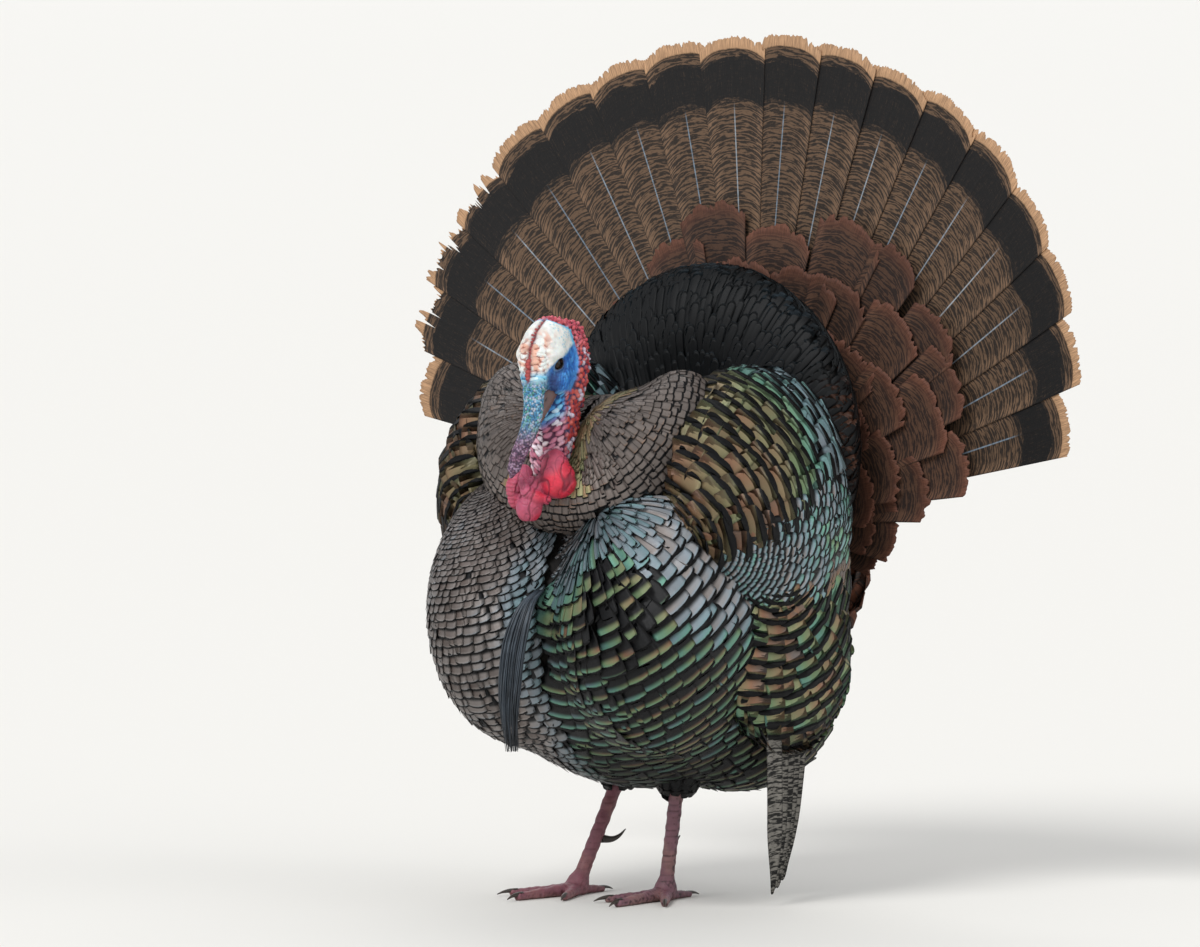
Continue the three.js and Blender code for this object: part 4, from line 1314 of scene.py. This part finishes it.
def tone_of(color):
    """Colour numbers of a six-figure code; colours that are numbers stay as they are."""
    return np.array(rgb(color)[:3]) if isinstance(color, str) else color


def cover(tint, *coats):
    """A tint under coats of paint, each a colour and its weight at every point."""
    tint = tone_of(tint)
    for color, weight in coats:
        weight = np.clip(weight, 0, 1)[:, None]
        tint = tint * (1 - weight) + tone_of(color) * weight
    return tint


# Where the hood of knobs begins: heights against distance across the face as the viewer
# of the photo sees it.
HOOD_EDGE = np.array([(470, 20), (488, 23), (495, 25), (504, 29), (515, 31.5), (525, 32), (535, 29.4),
                      (543, 26.5), (552, 24), (557, 17), (561, 7), (566, -9)], float)
ROPE = unit(np.array([0.77, 0.36, 0.5]))


def warped(p, reach, scale, seed):
    return p + reach * np.stack([wander(p, scale, seed + k) for k in range(3)], 1)


def stretched(p):
    """Points drawn together along the ropes of the throat, so knobs there come out long."""
    way = np.stack([np.sign(p[:, 0]) * ROPE[0], np.full(len(p), ROPE[1]), np.full(len(p), ROPE[2])], 1)
    return p - way * ((p * way).sum(1) * 0.62)[:, None]


def midline_spots(p, low, high, step, rng):
    """Points of the surface down the middle of the face."""
    spots = []
    for height in np.arange(low, high, step):
        off = rng.normal(0, 1.7)
        near = np.flatnonzero((np.abs(p[:, 0] - off) < 1.0) & (np.abs(p[:, 2] - height) < 1.2)
                              & (p[:, 1] < 12))
        if len(near):
            spots.append(p[near[np.argmin(p[near, 1])]])
    return np.array(spots)


def dome_of(gap, radius):
    """Height of a round bead of radius 1 at a gap from its middle."""
    return np.sqrt(np.maximum(0, 1 - (gap / radius) ** 2))


def knobs_on(lay, weight, spacing, rng, least=0.55):
    """Knobs a spacing apart where the weight allows: height 0 to 1, size and luck of each."""
    centres = bead_centres(lay, weight, spacing, rng)
    near = np.flatnonzero(weight > 0.01)
    gap, number = nearest(lay[near], centres)
    size = rng.uniform(least, 1.4, len(centres))
    luck = rng.uniform(0, 1, len(centres))
    out = np.zeros((3, len(lay)))
    out[:, near] = dome_of(gap, spacing * 0.72), size[number], luck[number]
    return out


def pick(luck, *codes):
    """One of the colours for each value of luck between 0 and 1."""
    tones = np.array([tone_of(code) for code in codes])
    return tones[np.clip((luck * len(codes)).astype(int), 0, len(codes) - 1)]


def head_skin():
    """Bare head, neck, snood and wattles with their folds, knobs and colours."""
    rng = np.random.default_rng(301)
    p, quads = surface_net(head_shape, (-40, -72, 362), (40, 64, 576), HEAD_CELL)
    n = normal_of(head_shape, p)
    x, y, z = p.T
    lateral = np.abs(x)
    seen = 0.906 * lateral + 0.423 * y
    warp = warped(p, 1.0, 2.6, 307)
    snood = smooth(snood_field(p), 1.4, 0.2) * smooth(z, 508, 498)
    wattle = smooth(WATTLES(p), 1.2, 0.2)
    bare = (1 - snood) * (1 - wattle)
    edge = np.interp(z, HOOD_EDGE[:, 0], HOOD_EDGE[:, 1])
    hood = smooth(seen, edge - 1.2, edge + 1.2) * bare
    throat = smooth(z, 496, 491) * smooth(y, -20, -12) * bare * (1 - hood)
    slit = np.minimum(eye_slit(p, 1) + 99 * (x < 0), eye_slit(p, -1) + 99 * (x > 0))
    eye_gap = np.minimum(*[np.linalg.norm(p - eye_frame(s)[0], axis=1) for s in (1, -1)])
    rest = bare * (1 - hood) * (1 - throat)
    brow = z - (516 + 0.9 * np.maximum(seen - 2.7, -30)) + 1.2 * wander(p, 4, 302)
    white = smooth(brow, -1.2, 1.2) * smooth(z, 490, 496)
    front = smooth(seen, 6, -2) * smooth(z, 488, 494) * smooth(y, -8, -14)
    chin = front * smooth(z, 506, 498)
    white = np.maximum(white, front) * rest
    face = (rest - white) * smooth(z, 484, 490)
    # knobs of the crown, nape and throat, cobbles of the forehead, wrinkles, grains
    crown = knobs_on(warp, hood * (z > 522), KNOB["crown"], rng, 0.3)
    nape = knobs_on(warp, hood * (z <= 522), KNOB["nape"], rng, 0.3)
    knob, knob_size, knob_luck = crown + nape * (crown[1] == 0)
    rope, rope_size, rope_luck = knobs_on(stretched(warp), throat, KNOB["rope"], rng)
    fore = white * smooth(y, 0, -10) * smooth(lateral, 21, 13) * smooth(z, 551, 537)
    cobble, cobble_size, cobble_luck = knobs_on(warp * (0.4, 1, 1.3), fore, KNOB["cobble"], rng)
    cell, _, cell_luck = knobs_on(warp * (1.3, 1.2, 0.5), face, KNOB["wrinkle"], rng)
    grain, _, grain_luck = knobs_on(p, np.maximum(snood, chin), KNOB["grain"], rng)
    crease = np.exp(-((x + 0.9 * wander(p, 5, 314)) / 2.4) ** 2) * ((y < -14) | (z > 546))
    crease = crease * smooth(z, 490, 497) * rest
    low_gap, _ = nearest(p, midline_spots(p, 494, 528, 3.5, rng))
    high_gap, _ = nearest(p, midline_spots(p, 526, 566, 3.0, rng))
    seam = np.maximum(dome_of(low_gap, 2.9), dome_of(high_gap, 1.6)) * rest
    folds = np.abs(wander(warp, 7.5, 304))
    fold = np.maximum(smooth(folds, 0.13, 0.0), 0.5 * smooth(np.abs(wander(warp, 4.2, 334)), 0.1, 0.0))
    fold = fold * wattle
    ribs = np.sin(z * 1.7 + 1.5 * wander(p, 6, 308)) * smooth(x, -15, -20) * wattle
    fine = wander(p, 1.3, 306)
    push = hood * (3.1 * knob * knob_size - 1.3) + throat * (3.0 * rope * rope_size - 1.5)
    push = push + 1.3 * white * (1 + 0.6 * np.exp(-((eye_gap - 10) / 4) ** 2))
    push = push + fore * (1 - seam) * (1.5 * cobble * cobble_size - 1.2) + 0.3 * white * wander(p, 5, 309)
    push = push - 2.4 * crease + seam * mix(2.7, 1.3, smooth(z, 520, 532))
    lines = np.sin(eye_gap * 2.3 + 2.4 * wander(p, 5, 331))
    wrinkle = 0.6 * cell - 0.45 + 0.2 * lines * smooth(eye_gap, 19, 12)
    push = push + face * wrinkle * smooth(eye_gap, 8.2, 11)
    push = push + (snood + chin) * (0.7 * grain - 0.4) * (1 - seam)
    push = push + wattle * (0.5 * wander(p, 4.5, 310) + 0.12 * fine) - 1.0 * fold + 0.3 * ribs
    push = push * smooth(eye_gap, 7.4, 8.8) + 0.8 * np.exp(-((slit - 1.0) / 0.7) ** 2) * (eye_gap < 12)
    # colours of the crown, forehead, face and brow
    warm = white * smooth(z, 509, 517) * smooth(z, 558, 545) * smooth(lateral, 20, 9)
    dots = knobs_on(p, white * (z > 528) * (edge - seen < 14), KNOB["dot"], rng)
    cool = smooth(z, 517, 506) * white
    navy = smooth(seen, 17, 9) * smooth(z, 517, 509) * face
    # socket marks the ring round the eye that is painted in shade.
    socket = smooth(eye_gap, 12.5, 8.5) * (1 - 0.75 * white)
    tint = cover(
        "7f9cc4", ("e9ece8", white),
        ("e6a283", warm * (1 - seam) * smooth(wander(p, 2.6, 311), -0.3, 0.3) * 0.8),
        # Salmon-brown between the forehead cobbles: painted shade in the crevices.
        ("9b4f40", warm * fore * smooth(cobble, 0.5, 0.1) * 0.85),
        ("8fcfe2", white * smooth(dots[0], 0.75, 0.95) * (dots[2] > 0.45) * 0.7),
        ("4fb2dd", white * smooth(edge - seen, 4.6, 1.0) * smooth(z, 528, 538)),
        ("4aa5e0", white * smooth(brow, 4.0, 0.4) * smooth(seen, -4, 4) * 0.9),
        (pick(cobble_luck, "cfe6ea", "58b2d6", "8cc7da", "3f93c0"), cool),
        # Dark blue between the lower cobbles: painted shade in the crevices.
        ("1c527a", cool * smooth(cobble, 0.55, 0.1)),
        (pick(cell_luck, "2f78cc", "3c8ada", "266abc", "4f9ce6"), face),
        # Darker blue between the wrinkle cells of the face: painted shade in the folds.
        ("1b4490", face * smooth(cell, 0.62, 0.2) * 0.6),
        ("56a4ea", face * smooth(edge - seen, 5.0, 1.0) * 0.75),
        ("2b3d70", navy * 0.8),
        # Dark navy round the eye: painted shade of the socket and of the brow above it.
        ("1c2f5e", socket * 0.75),
        # Pale blue along the rims of the lids: painted highlight.
        ("7fa9d2", np.exp(-((slit - 1.3) / 0.5) ** 2) * (eye_gap < 12) * 0.6),
        ("17130f", smooth(slit, 0.8, 0.3) * (eye_gap < 11)),
        # Dark red in the crease down the middle: painted shade in the groove.
        ("6b1f26", crease),
        ("8c3134", smooth(seam, 0.3, 0.6)),
        # Lighter red on the tops of the midline knobs: painted highlight.
        ("b9504b", smooth(seam, 0.75, 0.98) * 0.8))
    # colours of the hood, throat ropes, snood and wattles
    low = smooth(z, 548, 528)
    lower = pick(knob_luck, "b8443f", "a33c42", "cc6258", "c04f4c", "c8bccb", "b23a3c", "d0706a")
    bead = cover(pick(knob_luck, "b8485a", "cb6670", "a63e50", "c4525c"), (lower, low))
    # Painted highlight and shade on each knob: lighter on top, darker towards its foot.
    bead = bead * (0.72 + 0.42 * knob[:, None])
    # Dark red-black between the knobs, purple-navy at the nape: painted shade in the crevices.
    hooded = cover("45131f", ("4b4a72", low * 0.8), (bead, smooth(knob, 0.25, 0.65)))
    rank = 0.5 * (seen - 21.6) - 0.85 * (z - 494)
    late, right = smooth(rank, 12, 24), smooth(seen, 16, 21)
    strand = cover(pick(rope_luck, "4d9fd8", "3f86c6", "7ec0e4", "bcd8ec"),
                   (pick(rope_luck, "c77f98", "b9687f", "dba9b9", "e6d7df"), late),
                   (pick(rope_luck, "b8443f", "cc625a", "a33c42"), right))
    # Painted highlight and shade on each rope knob: lighter on top, darker towards its foot; the dark
    # blue, plum further back, between them is painted shade in the crevices.
    strand = strand * (0.72 + 0.42 * rope[:, None])
    roped = cover("1d3f78", ("5c2b48", late), (strand, smooth(rope, 0.25, 0.7)))
    soft = cover(pick(grain_luck, "7fb4cf", "4f93bd", "5aa39a", "a9b8cc", "3f7ea8"),
                 (pick(grain_luck, "6b4a62", "8d6480", "a98aa6", "5a3f5c"), smooth(z, 472, 440)))
    # Painted shade between the grains of the snood and chin: each grain darkens towards its edge.
    soft = soft * (0.3 + 0.7 * grain[:, None])
    rosy = smooth(wander(p, 8, 321) + 0.05 * (x - 14) - 0.03 * (z - 405), -0.3, 0.6)
    flesh = cover("bf4f68", ("cf2f46", rosy))
    flesh = flesh * (1 + 0.09 * fine + 0.08 * wander(p, 2.4, 322))[:, None]
    tint = cover(
        tint, (hooded, hood), (roped, throat), (soft, np.maximum(snood, chin * (1 - seam))),
        (flesh, wattle), ("b0506c", wattle * smooth(x, 6, -2) * smooth(x, -20, -14) * 0.8),
        # Dark crimson in the folds of the wattles is painted shade; along the raised ribs it is the
        # wattles' own colour.
        ("6e2034", wattle * np.maximum(fold * 0.8, smooth(ribs, 0.35, 0.9) * 0.5)))
    moved = from_head(p + n * push[:, None])
    return moved, quads, np.concatenate([tint, (0.25 + 0.2 * wattle)[:, None]], 1)


def shank_line(foot):
    x, y = foot["at"]
    top = foot["hock"]
    knee = (mix(x, top[0], 0.5), mix(y, top[1], 0.5), mix(0, top[2], 0.52))
    path = [(x, y, 9), (mix(x, knee[0], 0.3), mix(y, knee[1], 0.3), 32), knee, top]
    t = np.linspace(0, 1, 14)
    radii = SHANK_RADIUS * (1 + 0.35 * np.maximum(0, 1 - t * 5) + 0.3 * t**6)
    return curve(path, t), radii


def toe_ways(foot):
    for toe in TOES:
        angle = math.radians(foot["side"] * toe["angle"] + foot["toe_out"])
        yield toe, np.array([math.sin(angle), -math.cos(angle), 0.0])


def leg_shape(foot):
    spots, radii = shank_line(foot)
    ankle = np.array([foot["at"][0], foot["at"][1], 11.0])
    parts = [chain(spots, radii, 1.0), lambda p: np.sqrt(((p - ankle) ** 2).sum(-1)) - 10.5]
    for toe, way in toe_ways(foot):
        t = np.linspace(0, 1, 9)
        tall = mix(toe["radius"] * 1.08, toe["radius"] * 0.56, t**0.7)
        swell = 1 + 0.09 * np.cos(t * 6 * math.pi)
        line = np.array([foot["at"][0], foot["at"][1], 0.0]) + way * (t * toe["length"])[:, None]
        line[:, 2] = tall * 0.96
        parts.append(chain(line, tall * swell, 0.8))
    solid = merged(parts, 1.6)
    return lambda p: np.maximum(solid(p), -p[..., 2])


def leg_skin(foot):
    """Scaled shank and toes: plates down the front, round scales elsewhere."""
    rng = np.random.default_rng(401 + foot["side"])
    shape = leg_shape(foot)
    x, y = foot["at"]
    p, quads = surface_net(shape, (x - 62, y - 100, -4), (x + 62, y + 80, 176), LEG_CELL)
    n = normal_of(shape, p)
    front = smooth(-n[:, 1], 0.1, 0.5) * smooth(p[:, 2], 14, 22)
    plate_wave = np.abs(np.sin(p[:, 2] * math.pi / 6.4))
    dist = np.linalg.norm(p[:, :2] - np.array([x, y]), axis=1)
    toe_top = smooth(n[:, 2], 0.2, 0.6) * smooth(p[:, 2], 24, 16)
    toe_wave = np.abs(np.sin(dist * math.pi / 4.6))
    scale_spots = bead_centres(p, (p[:, 2] > 0.6) * 1.0, 3.2, rng)
    scale_gap, _ = nearest(p, scale_spots)
    scale = dome_of(scale_gap, 2.3)
    plates = front * plate_wave ** 0.35 + toe_top * toe_wave ** 0.35
    covered = np.clip(front + toe_top, 0, 1)
    relief = 0.55 * plates + 0.35 * scale * (1 - covered) - 0.3
    relief = relief * smooth(p[:, 2], 0.3, 2.0)
    seams = 1 - np.clip(plates + scale * (1 - covered), 0, 1)
    tint = cover("7c5560", ("8d6a63", smooth(wander(p, 9, 402), -0.2, 0.6) * 0.6),
                 ("43292f", smooth(seams, 0.25, 0.8)))
    if foot["side"] < 0:
        tint = cover(tint, ("8f4f57", np.full(len(p), 0.4)))
    # Darker brown where the skin faces down: painted shade under the toes and shank.
    tint = cover(tint, ("6a5048", smooth(n[:, 2], -0.3, -0.8) * 0.7))
    return p + n * relief[:, None], quads, np.concatenate([tint, np.full((len(p), 1), 0.3)], 1)


def skin_material():
    """Bare skin: painted tint with fine pores; near-black under the feathers: painted shade where it
    shows between them.
    """
    m = Paint("skin", Subsurface_Weight=0.08, Subsurface_Scale=0.004)
    where = m.place()
    pores = m.node("TexVoronoi", where, feature="F1", out="Distance")
    m.set(pores.socket.node, Scale=900.0)
    blotch = m.noise(where, 160.0, 3.0)
    color = m.dimmed(m.attribute("tint", "Color"), m.range(blotch, 0.25, 0.75, 0.86, 1.12))
    rough = m.range(m.attribute("tint", "Alpha"), 0.0, 1.0, 0.62, 0.3)
    return m.finish(color, rough, pores + blotch, 0.0004, 0.5)


def skin(material):
    """One skin for all the flesh: feathered body, bare head and scaled legs."""
    flesh = merged([shrunk(field, COAT_DEPTH) for field in
                    (TRUNK, WINGS[1], WINGS[-1], BACK, COLLAR, UNDERTAIL, *THIGHS.values())], 5)
    p, quads = surface_net(flesh, (-215, -400, 78), (215, 60, 640), BODY_CELL)
    # Near-black body skin under the coat: painted shade where it shows in the gaps between feathers.
    down = tone_of("171310") * (1 + 0.3 * wander(p, 14, 501))[:, None]
    parts = [(p, quads, np.concatenate([down, np.zeros((len(p), 1))], 1)), head_skin()]
    parts += [leg_skin(foot) for foot in FEET]
    verts, faces = join_parts([part[:2] for part in parts])
    piece = build_mesh("skin", verts, [faces], material,
                       {"tint": np.concatenate([part[2] for part in parts])})
    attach(piece, "root")
    print("skin", 2 * len(faces), "triangles")
    return piece


# ---- eyes, bill, claws, beard ----
def eyeball(side, material):
    centre, gaze, along, across = eye_frame(side)
    rows, around = 25, 40
    polar = np.linspace(0, math.pi, rows)[1:-1, None]
    turn = np.linspace(0, 2 * math.pi, around, endpoint=False)[None]
    ring = (gaze * np.cos(polar)[..., None] + along * (np.sin(polar) * np.cos(turn))[..., None]
            + across * (np.sin(polar) * np.sin(turn))[..., None])
    poles = np.stack([gaze, -gaze])
    ways = np.concatenate([ring.reshape(-1, 3), poles])
    bulge = 1 + 0.03 * np.maximum(0, ways @ gaze) ** 8
    verts = centre + ways * EYE["radius"] * bulge[:, None]
    at, quads = grid_faces(rows - 2, around, closed=True)
    quads = np.roll(quads[:, ::-1], 1, axis=1)
    nxt, size = np.roll(at, -1, axis=1), at.size
    caps = np.concatenate([np.stack([np.full(around, size), at[0], nxt[0]], 1),
                           np.stack([np.full(around, size + 1), nxt[-1], at[-1]], 1)])
    facing = np.degrees(np.arccos(np.clip(ways @ gaze, -1, 1)))
    marks = np.stack([facing, ways @ along, ways @ across], -1)
    name = "eyeball_left" if side > 0 else "eyeball_right"
    piece = build_mesh(name, from_head(verts), [quads, caps], material, {"vane": marks})
    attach(piece, "root")
    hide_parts("eye_left" if side > 0 else "eye_right")
    return piece


def eye_material():
    m = Paint("eye_glass", 0.06, Specular_IOR_Level=0.3)
    facing, u, v = m.split(m.attribute("vane"))
    rays = m.noise(m.vector(u * 4.0, v * 4.0), 6.0, 3.0)
    iris = m.mix(rays, rgb("140a06"), rgb("38200f"))
    color = m.mix(m.range(facing, 20.0, 24.0), rgb("020203"), iris)
    return m.finish(m.mix(m.range(facing, 40.0, 47.0), color, rgb("140d0b")))


def bill_half(height, half_width, reach, sign, steps=30, around=24):
    """Upper (sign 1) or lower (sign -1) half of the bill, with the nostrils in the upper one."""
    start, end = np.array(MOUTH["back"], float), np.array(MOUTH["tip"], float)
    start = start - unit(end - start) * 6
    along = unit(end - start)
    up = np.cross(along, [1.0, 0, 0]) * sign
    t = np.linspace(0, 1, steps)
    turn = np.linspace(0, math.pi, around)
    centre = mix(start, end, (t * reach)[:, None]) + up * 0.15
    centre = centre - up * (sign * 1.6 * t**3)[:, None]
    wide = mix(half_width, 1.2, t**1.5)
    tall = mix(height, 1.8, t**1.8)
    ring = centre[:, None] + up * (tall[:, None] * np.sin(turn))[..., None]
    ring[..., 0] += wide[:, None] * np.cos(turn)
    pinch = np.exp(-((t - 0.34) / 0.08) ** 2)[:, None] * np.exp(-((np.sin(turn) - 0.62) / 0.16) ** 2)
    ring[..., 0] -= 1.5 * pinch * np.sign(np.cos(turn)) * (sign > 0)
    at, quads = grid_faces(steps, around, closed=True)
    caps = np.stack([at[0][::-1], at[-1]])
    if sign < 0:
        quads, caps = quads[:, ::-1], caps[:, ::-1]
    marks = np.stack([np.repeat(t, around), np.tile(np.sin(turn), steps), pinch.ravel()], -1)
    return ring.reshape(-1, 3), quads, caps, marks


def bill(materials):
    for name, half in BILL.items():
        verts, quads, caps, marks = bill_half(half["height"], half["half_width"], half["reach"],
                                              half["sign"])
        piece = build_mesh(name, from_head(verts), [quads, caps], materials[name], {"vane": marks})
        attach(piece, "root")
        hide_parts(half["node"])


def horn_material(name, dark, pale):
    """Horn with growth lines; vane holds along, height and nostril depth."""
    m = Paint(name)
    along, high, hollow = m.split(m.attribute("vane"))
    streak = m.noise(m.vector(along * 3.0, high * 14.0), 3.0, 3.0)
    color = m.mix(streak * 0.6 + along * 0.4, rgb(dark), rgb(pale))
    # Near-black in the nostril: painted shade of its opening.
    color = m.mix(m.range(hollow, 0.6, 1.0), color, rgb("1c1210"))
    return m.finish(color, m.range(streak, 0.2, 0.8, 0.3, 0.5), streak, 0.0004, 0.5)


def tapered(name, path, radii, material, hint, around=16):
    """A claw or spur; vane holds along, height and no nostril."""
    verts, quads, caps = tube(path, radii, around, hint)
    along = np.repeat(np.linspace(0, 1, len(path)), around)
    turn = np.linspace(0, 2 * math.pi, around, endpoint=False)
    marks = np.stack([along, np.tile(np.sin(turn) * 0.5 + 0.5, len(path)), 0 * along], -1)
    piece = build_mesh(name, verts, [quads, caps], material, {"vane": marks})
    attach(piece, "root")
    return piece


def claws_and_spurs(material):
    for foot in FEET:
        for toe, way in toe_ways(foot):
            thick = toe["radius"] * 0.5
            path = [np.array([foot["at"][0], foot["at"][1], 0.0]) + way * (toe["length"] + ahead)
                    + np.array([0, 0, thick * high + 0.4]) for ahead, high in CLAW_KNOTS]
            t = np.linspace(0, 1, 16)
            radii = mix(thick * 0.95, 0.45, t**1.2)
            piece = tapered(f"claw_{toe['name']}_{foot['name']}_horn", curve(path, t), radii,
                            material, np.cross(way, [0, 0, 1]))
            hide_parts(f"claw_{toe['name']}_{foot['name']}")
        root = mix(np.array([*foot["at"], 0.0]), np.array(foot["hock"], float), 0.34)
        path = [root + np.array(side_of(-foot["side"], step)) for step in SPUR_STEPS]
        t = np.linspace(0, 1, 18)
        piece = tapered(f"spur_{foot['name']}_horn", curve(path, t), mix(4.4, 0.5, t),
                        material, (0, 0, 1))
        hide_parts(f"spur_{foot['name']}")


def beard(material):
    """Stiff hanging bristles from the breast groove."""
    rng = np.random.default_rng(601)
    around, points = BEARD["around"], BEARD["points"]
    t = np.linspace(0, 1, points)
    parts, ends, marks, places = [], [], [], []
    for k in range(BEARD["bristles"]):
        a = rng.uniform(0, 2 * math.pi)
        r = math.sqrt(rng.uniform(0.02, 1))
        down = t * (1 - 0.34 * rng.uniform() ** 1.6)
        wide = mix(4.5, 14.5, smooth(down, 0.0, 0.5)) * (1 - 0.6 * smooth(down, 0.6, 1.05))
        deep = mix(4.0, 7.0, down)
        wave = 0.9 * np.sin(t * 9 + rng.uniform(0, 6.28)) * t
        off = np.stack([wide * r * math.cos(a) + wave, deep * r * math.sin(a) + 0 * t, 0 * t], 1)
        verts, quads, caps = tube(curve(BEARD["path"], down) + off, mix(0.85, 0.3, t), around)
        parts.append((verts, quads))
        ends.append((verts, caps))
        chance = np.full(len(verts), rng.uniform())
        marks.append(np.stack([np.repeat(t, around), chance, 0 * chance], -1))
        cell = np.array([(k % BEARD["across"] + 0.5) / BEARD["across"],
                         (k // BEARD["across"] + 0.5) / BEARD["down"]])
        patch = np.stack([np.tile(np.linspace(-0.5, 0.5, around), points),
                          np.repeat(0.5 - t, around)], -1)
        places.append(cell + patch * 0.05)
    verts, quads = join_parts(parts)
    piece = build_mesh("beard_bristles", verts, [quads, join_parts(ends)[1]], material,
                       {"vane": np.concatenate(marks)}, np.concatenate(places))
    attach(piece, "root")
    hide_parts("beard")


def beard_material():
    m = Paint("beard_hair", 0.42)
    along, chance, _ = m.split(m.attribute("vane"))
    color = m.mix(chance * m.noise(m.place(), 60.0), rgb("1a2027"), rgb("64707c"))
    return m.finish(m.mix(m.range(along, 0.75, 1.0, 0.0, 0.5), color, rgb("1a1512")))


# ---- stage, light and camera ----
VIEW = {"azimuth": 38.0, "elevation": 4.0, "distance": 13.0, "lens": 390.0,
        "target": (-124.5, -97.3, 411.5)}
# Direction towards each sun, its strength and its spread in degrees.
SUNS = {"key": ((0.05, -0.83, 0.85), 1.7, 25), "fill": ((1.0, 0.1, 0.45), 0.6, 50),
        "rim": ((-0.5, 0.8, 0.9), 0.8, 40)}
FLOOR_RADIUS = 40.0


def stage():
    m = Paint("floor_paper", 0.9)
    floor = m.finish(m.ramp(m.noise(None, 3.0), [(0.0, "e6e3dd"), (1.0, "eae8e3")]))
    bpy.ops.mesh.primitive_circle_add(vertices=96, radius=FLOOR_RADIUS, fill_type="NGON",
                                      location=(0, 0, 0))
    disc = bpy.context.object
    disc.name = "floor"
    disc.data.materials.append(floor)


def lights():
    world = bpy.data.worlds.new("studio")
    bpy.context.scene.world = world
    world.use_nodes = True
    tree = world.node_tree
    tree.nodes.clear()
    out, seen, lit, path, blend = [tree.nodes.new("ShaderNode" + kind) for kind in (
        "OutputWorld", "Background", "Background", "LightPath", "MixShader")]
    seen.inputs[0].default_value = rgb("eceae6")
    lit.inputs[0].default_value = (0.93, 0.96, 1.0, 1)
    lit.inputs[1].default_value = 0.55
    tree.links.new(path.outputs["Is Camera Ray"], blend.inputs[0])
    tree.links.new(lit.outputs[0], blend.inputs[1])
    tree.links.new(seen.outputs[0], blend.inputs[2])
    tree.links.new(blend.outputs[0], out.inputs[0])
    for name, (way, power, spread) in SUNS.items():
        lamp = bpy.data.lights.new(name, "SUN")
        lamp.energy = power
        lamp.angle = math.radians(spread)
        made = bpy.data.objects.new(name, lamp)
        made.rotation_euler = Vector(way).to_track_quat("Z", "Y").to_euler()
        bpy.context.scene.collection.objects.link(made)


def camera():
    data = bpy.data.cameras.new("camera")
    data.lens = VIEW["lens"]
    data.sensor_width = 36.0
    data.clip_end = 100.0
    made = bpy.data.objects.new("camera", data)
    azimuth, elevation = math.radians(VIEW["azimuth"]), math.radians(VIEW["elevation"])
    way = Vector((math.sin(azimuth) * math.cos(elevation), -math.cos(azimuth) * math.cos(elevation),
                  math.sin(elevation)))
    target = Vector(metres(np.array(VIEW["target"])))
    made.location = target + way * VIEW["distance"]
    made.rotation_euler = way.to_track_quat("Z", "Y").to_euler()
    bpy.context.scene.collection.objects.link(made)
    bpy.context.scene.camera = made


def dress(piece, slot, *nodes):
    if nodes:
        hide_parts(*nodes)


def build():
    bpy.context.scene.view_settings.view_transform = "Standard"
    camera()
    lights()
    stage()
    plume, rump = plume_material(), rump_material()
    fan = barred_material("tail_bars", "80654f", "382e27", "cda27c", 13.0, 4.4, 49.0)
    chestnut = barred_material("covert_bars", "6c4e3d", "382a25", "764a39", 12.0, 5.0, fade=11.0)
    loose = barred_material("undertail_bars", "5a3a2c", "251a15", "744530", 9.0, 8.0)
    quill = barred_material("quill_bars", "85817a", "161514", "3c3a36", 2.0, 7.0)
    flesh = ["trunk", "back", "collar", "neck", "head", "snood", "wattle_left", "wattle_front",
             "wattle_right", "wing_left", "wing_right", "undertail"]
    for foot in ("left", "right"):
        flesh += [f"thigh_{foot}", f"shank_{foot}", f"foot_{foot}"]
    dress(skin(skin_material()), "head_skin", *flesh)
    for side in (1, -1):
        dress(breast(side, plume), "breast_feather")
        dress(wing_coat(side, plume), "wing_feather")
        eyeball(side, EYES)
    dress(collar_coat(plume), "neck_feather")
    dress(dome_coat(rump), "back_feather")
    dress(undertail_coat(loose), "covert_feather")
    dress(thigh_coat(rump), "breast_feather")
    feathers = [f"tail_feather_{i + 1:02d}" for i in range(FAN["count"])]
    dress(tail_fan(fan), "tail_feather", *feathers)
    dress(tail_coverts(chestnut), "covert_feather", "tail_coverts")
    dress(primaries(quill), "quill_feather",
          *[f"primary_{side}_{i}" for side in ("left", "right") for i in (1, 2, 3)])
    bill({"bill_under": horn_material("bill_horn_under", "7d6150", "b8977a"),
          "bill_top": horn_material("bill_horn_top", "553c44", "8a6a5c")})
    claws_and_spurs(horn_material("claw_horn", "1d1816", "4a4038"))
    beard(beard_material())


EYES = eye_material()
build()
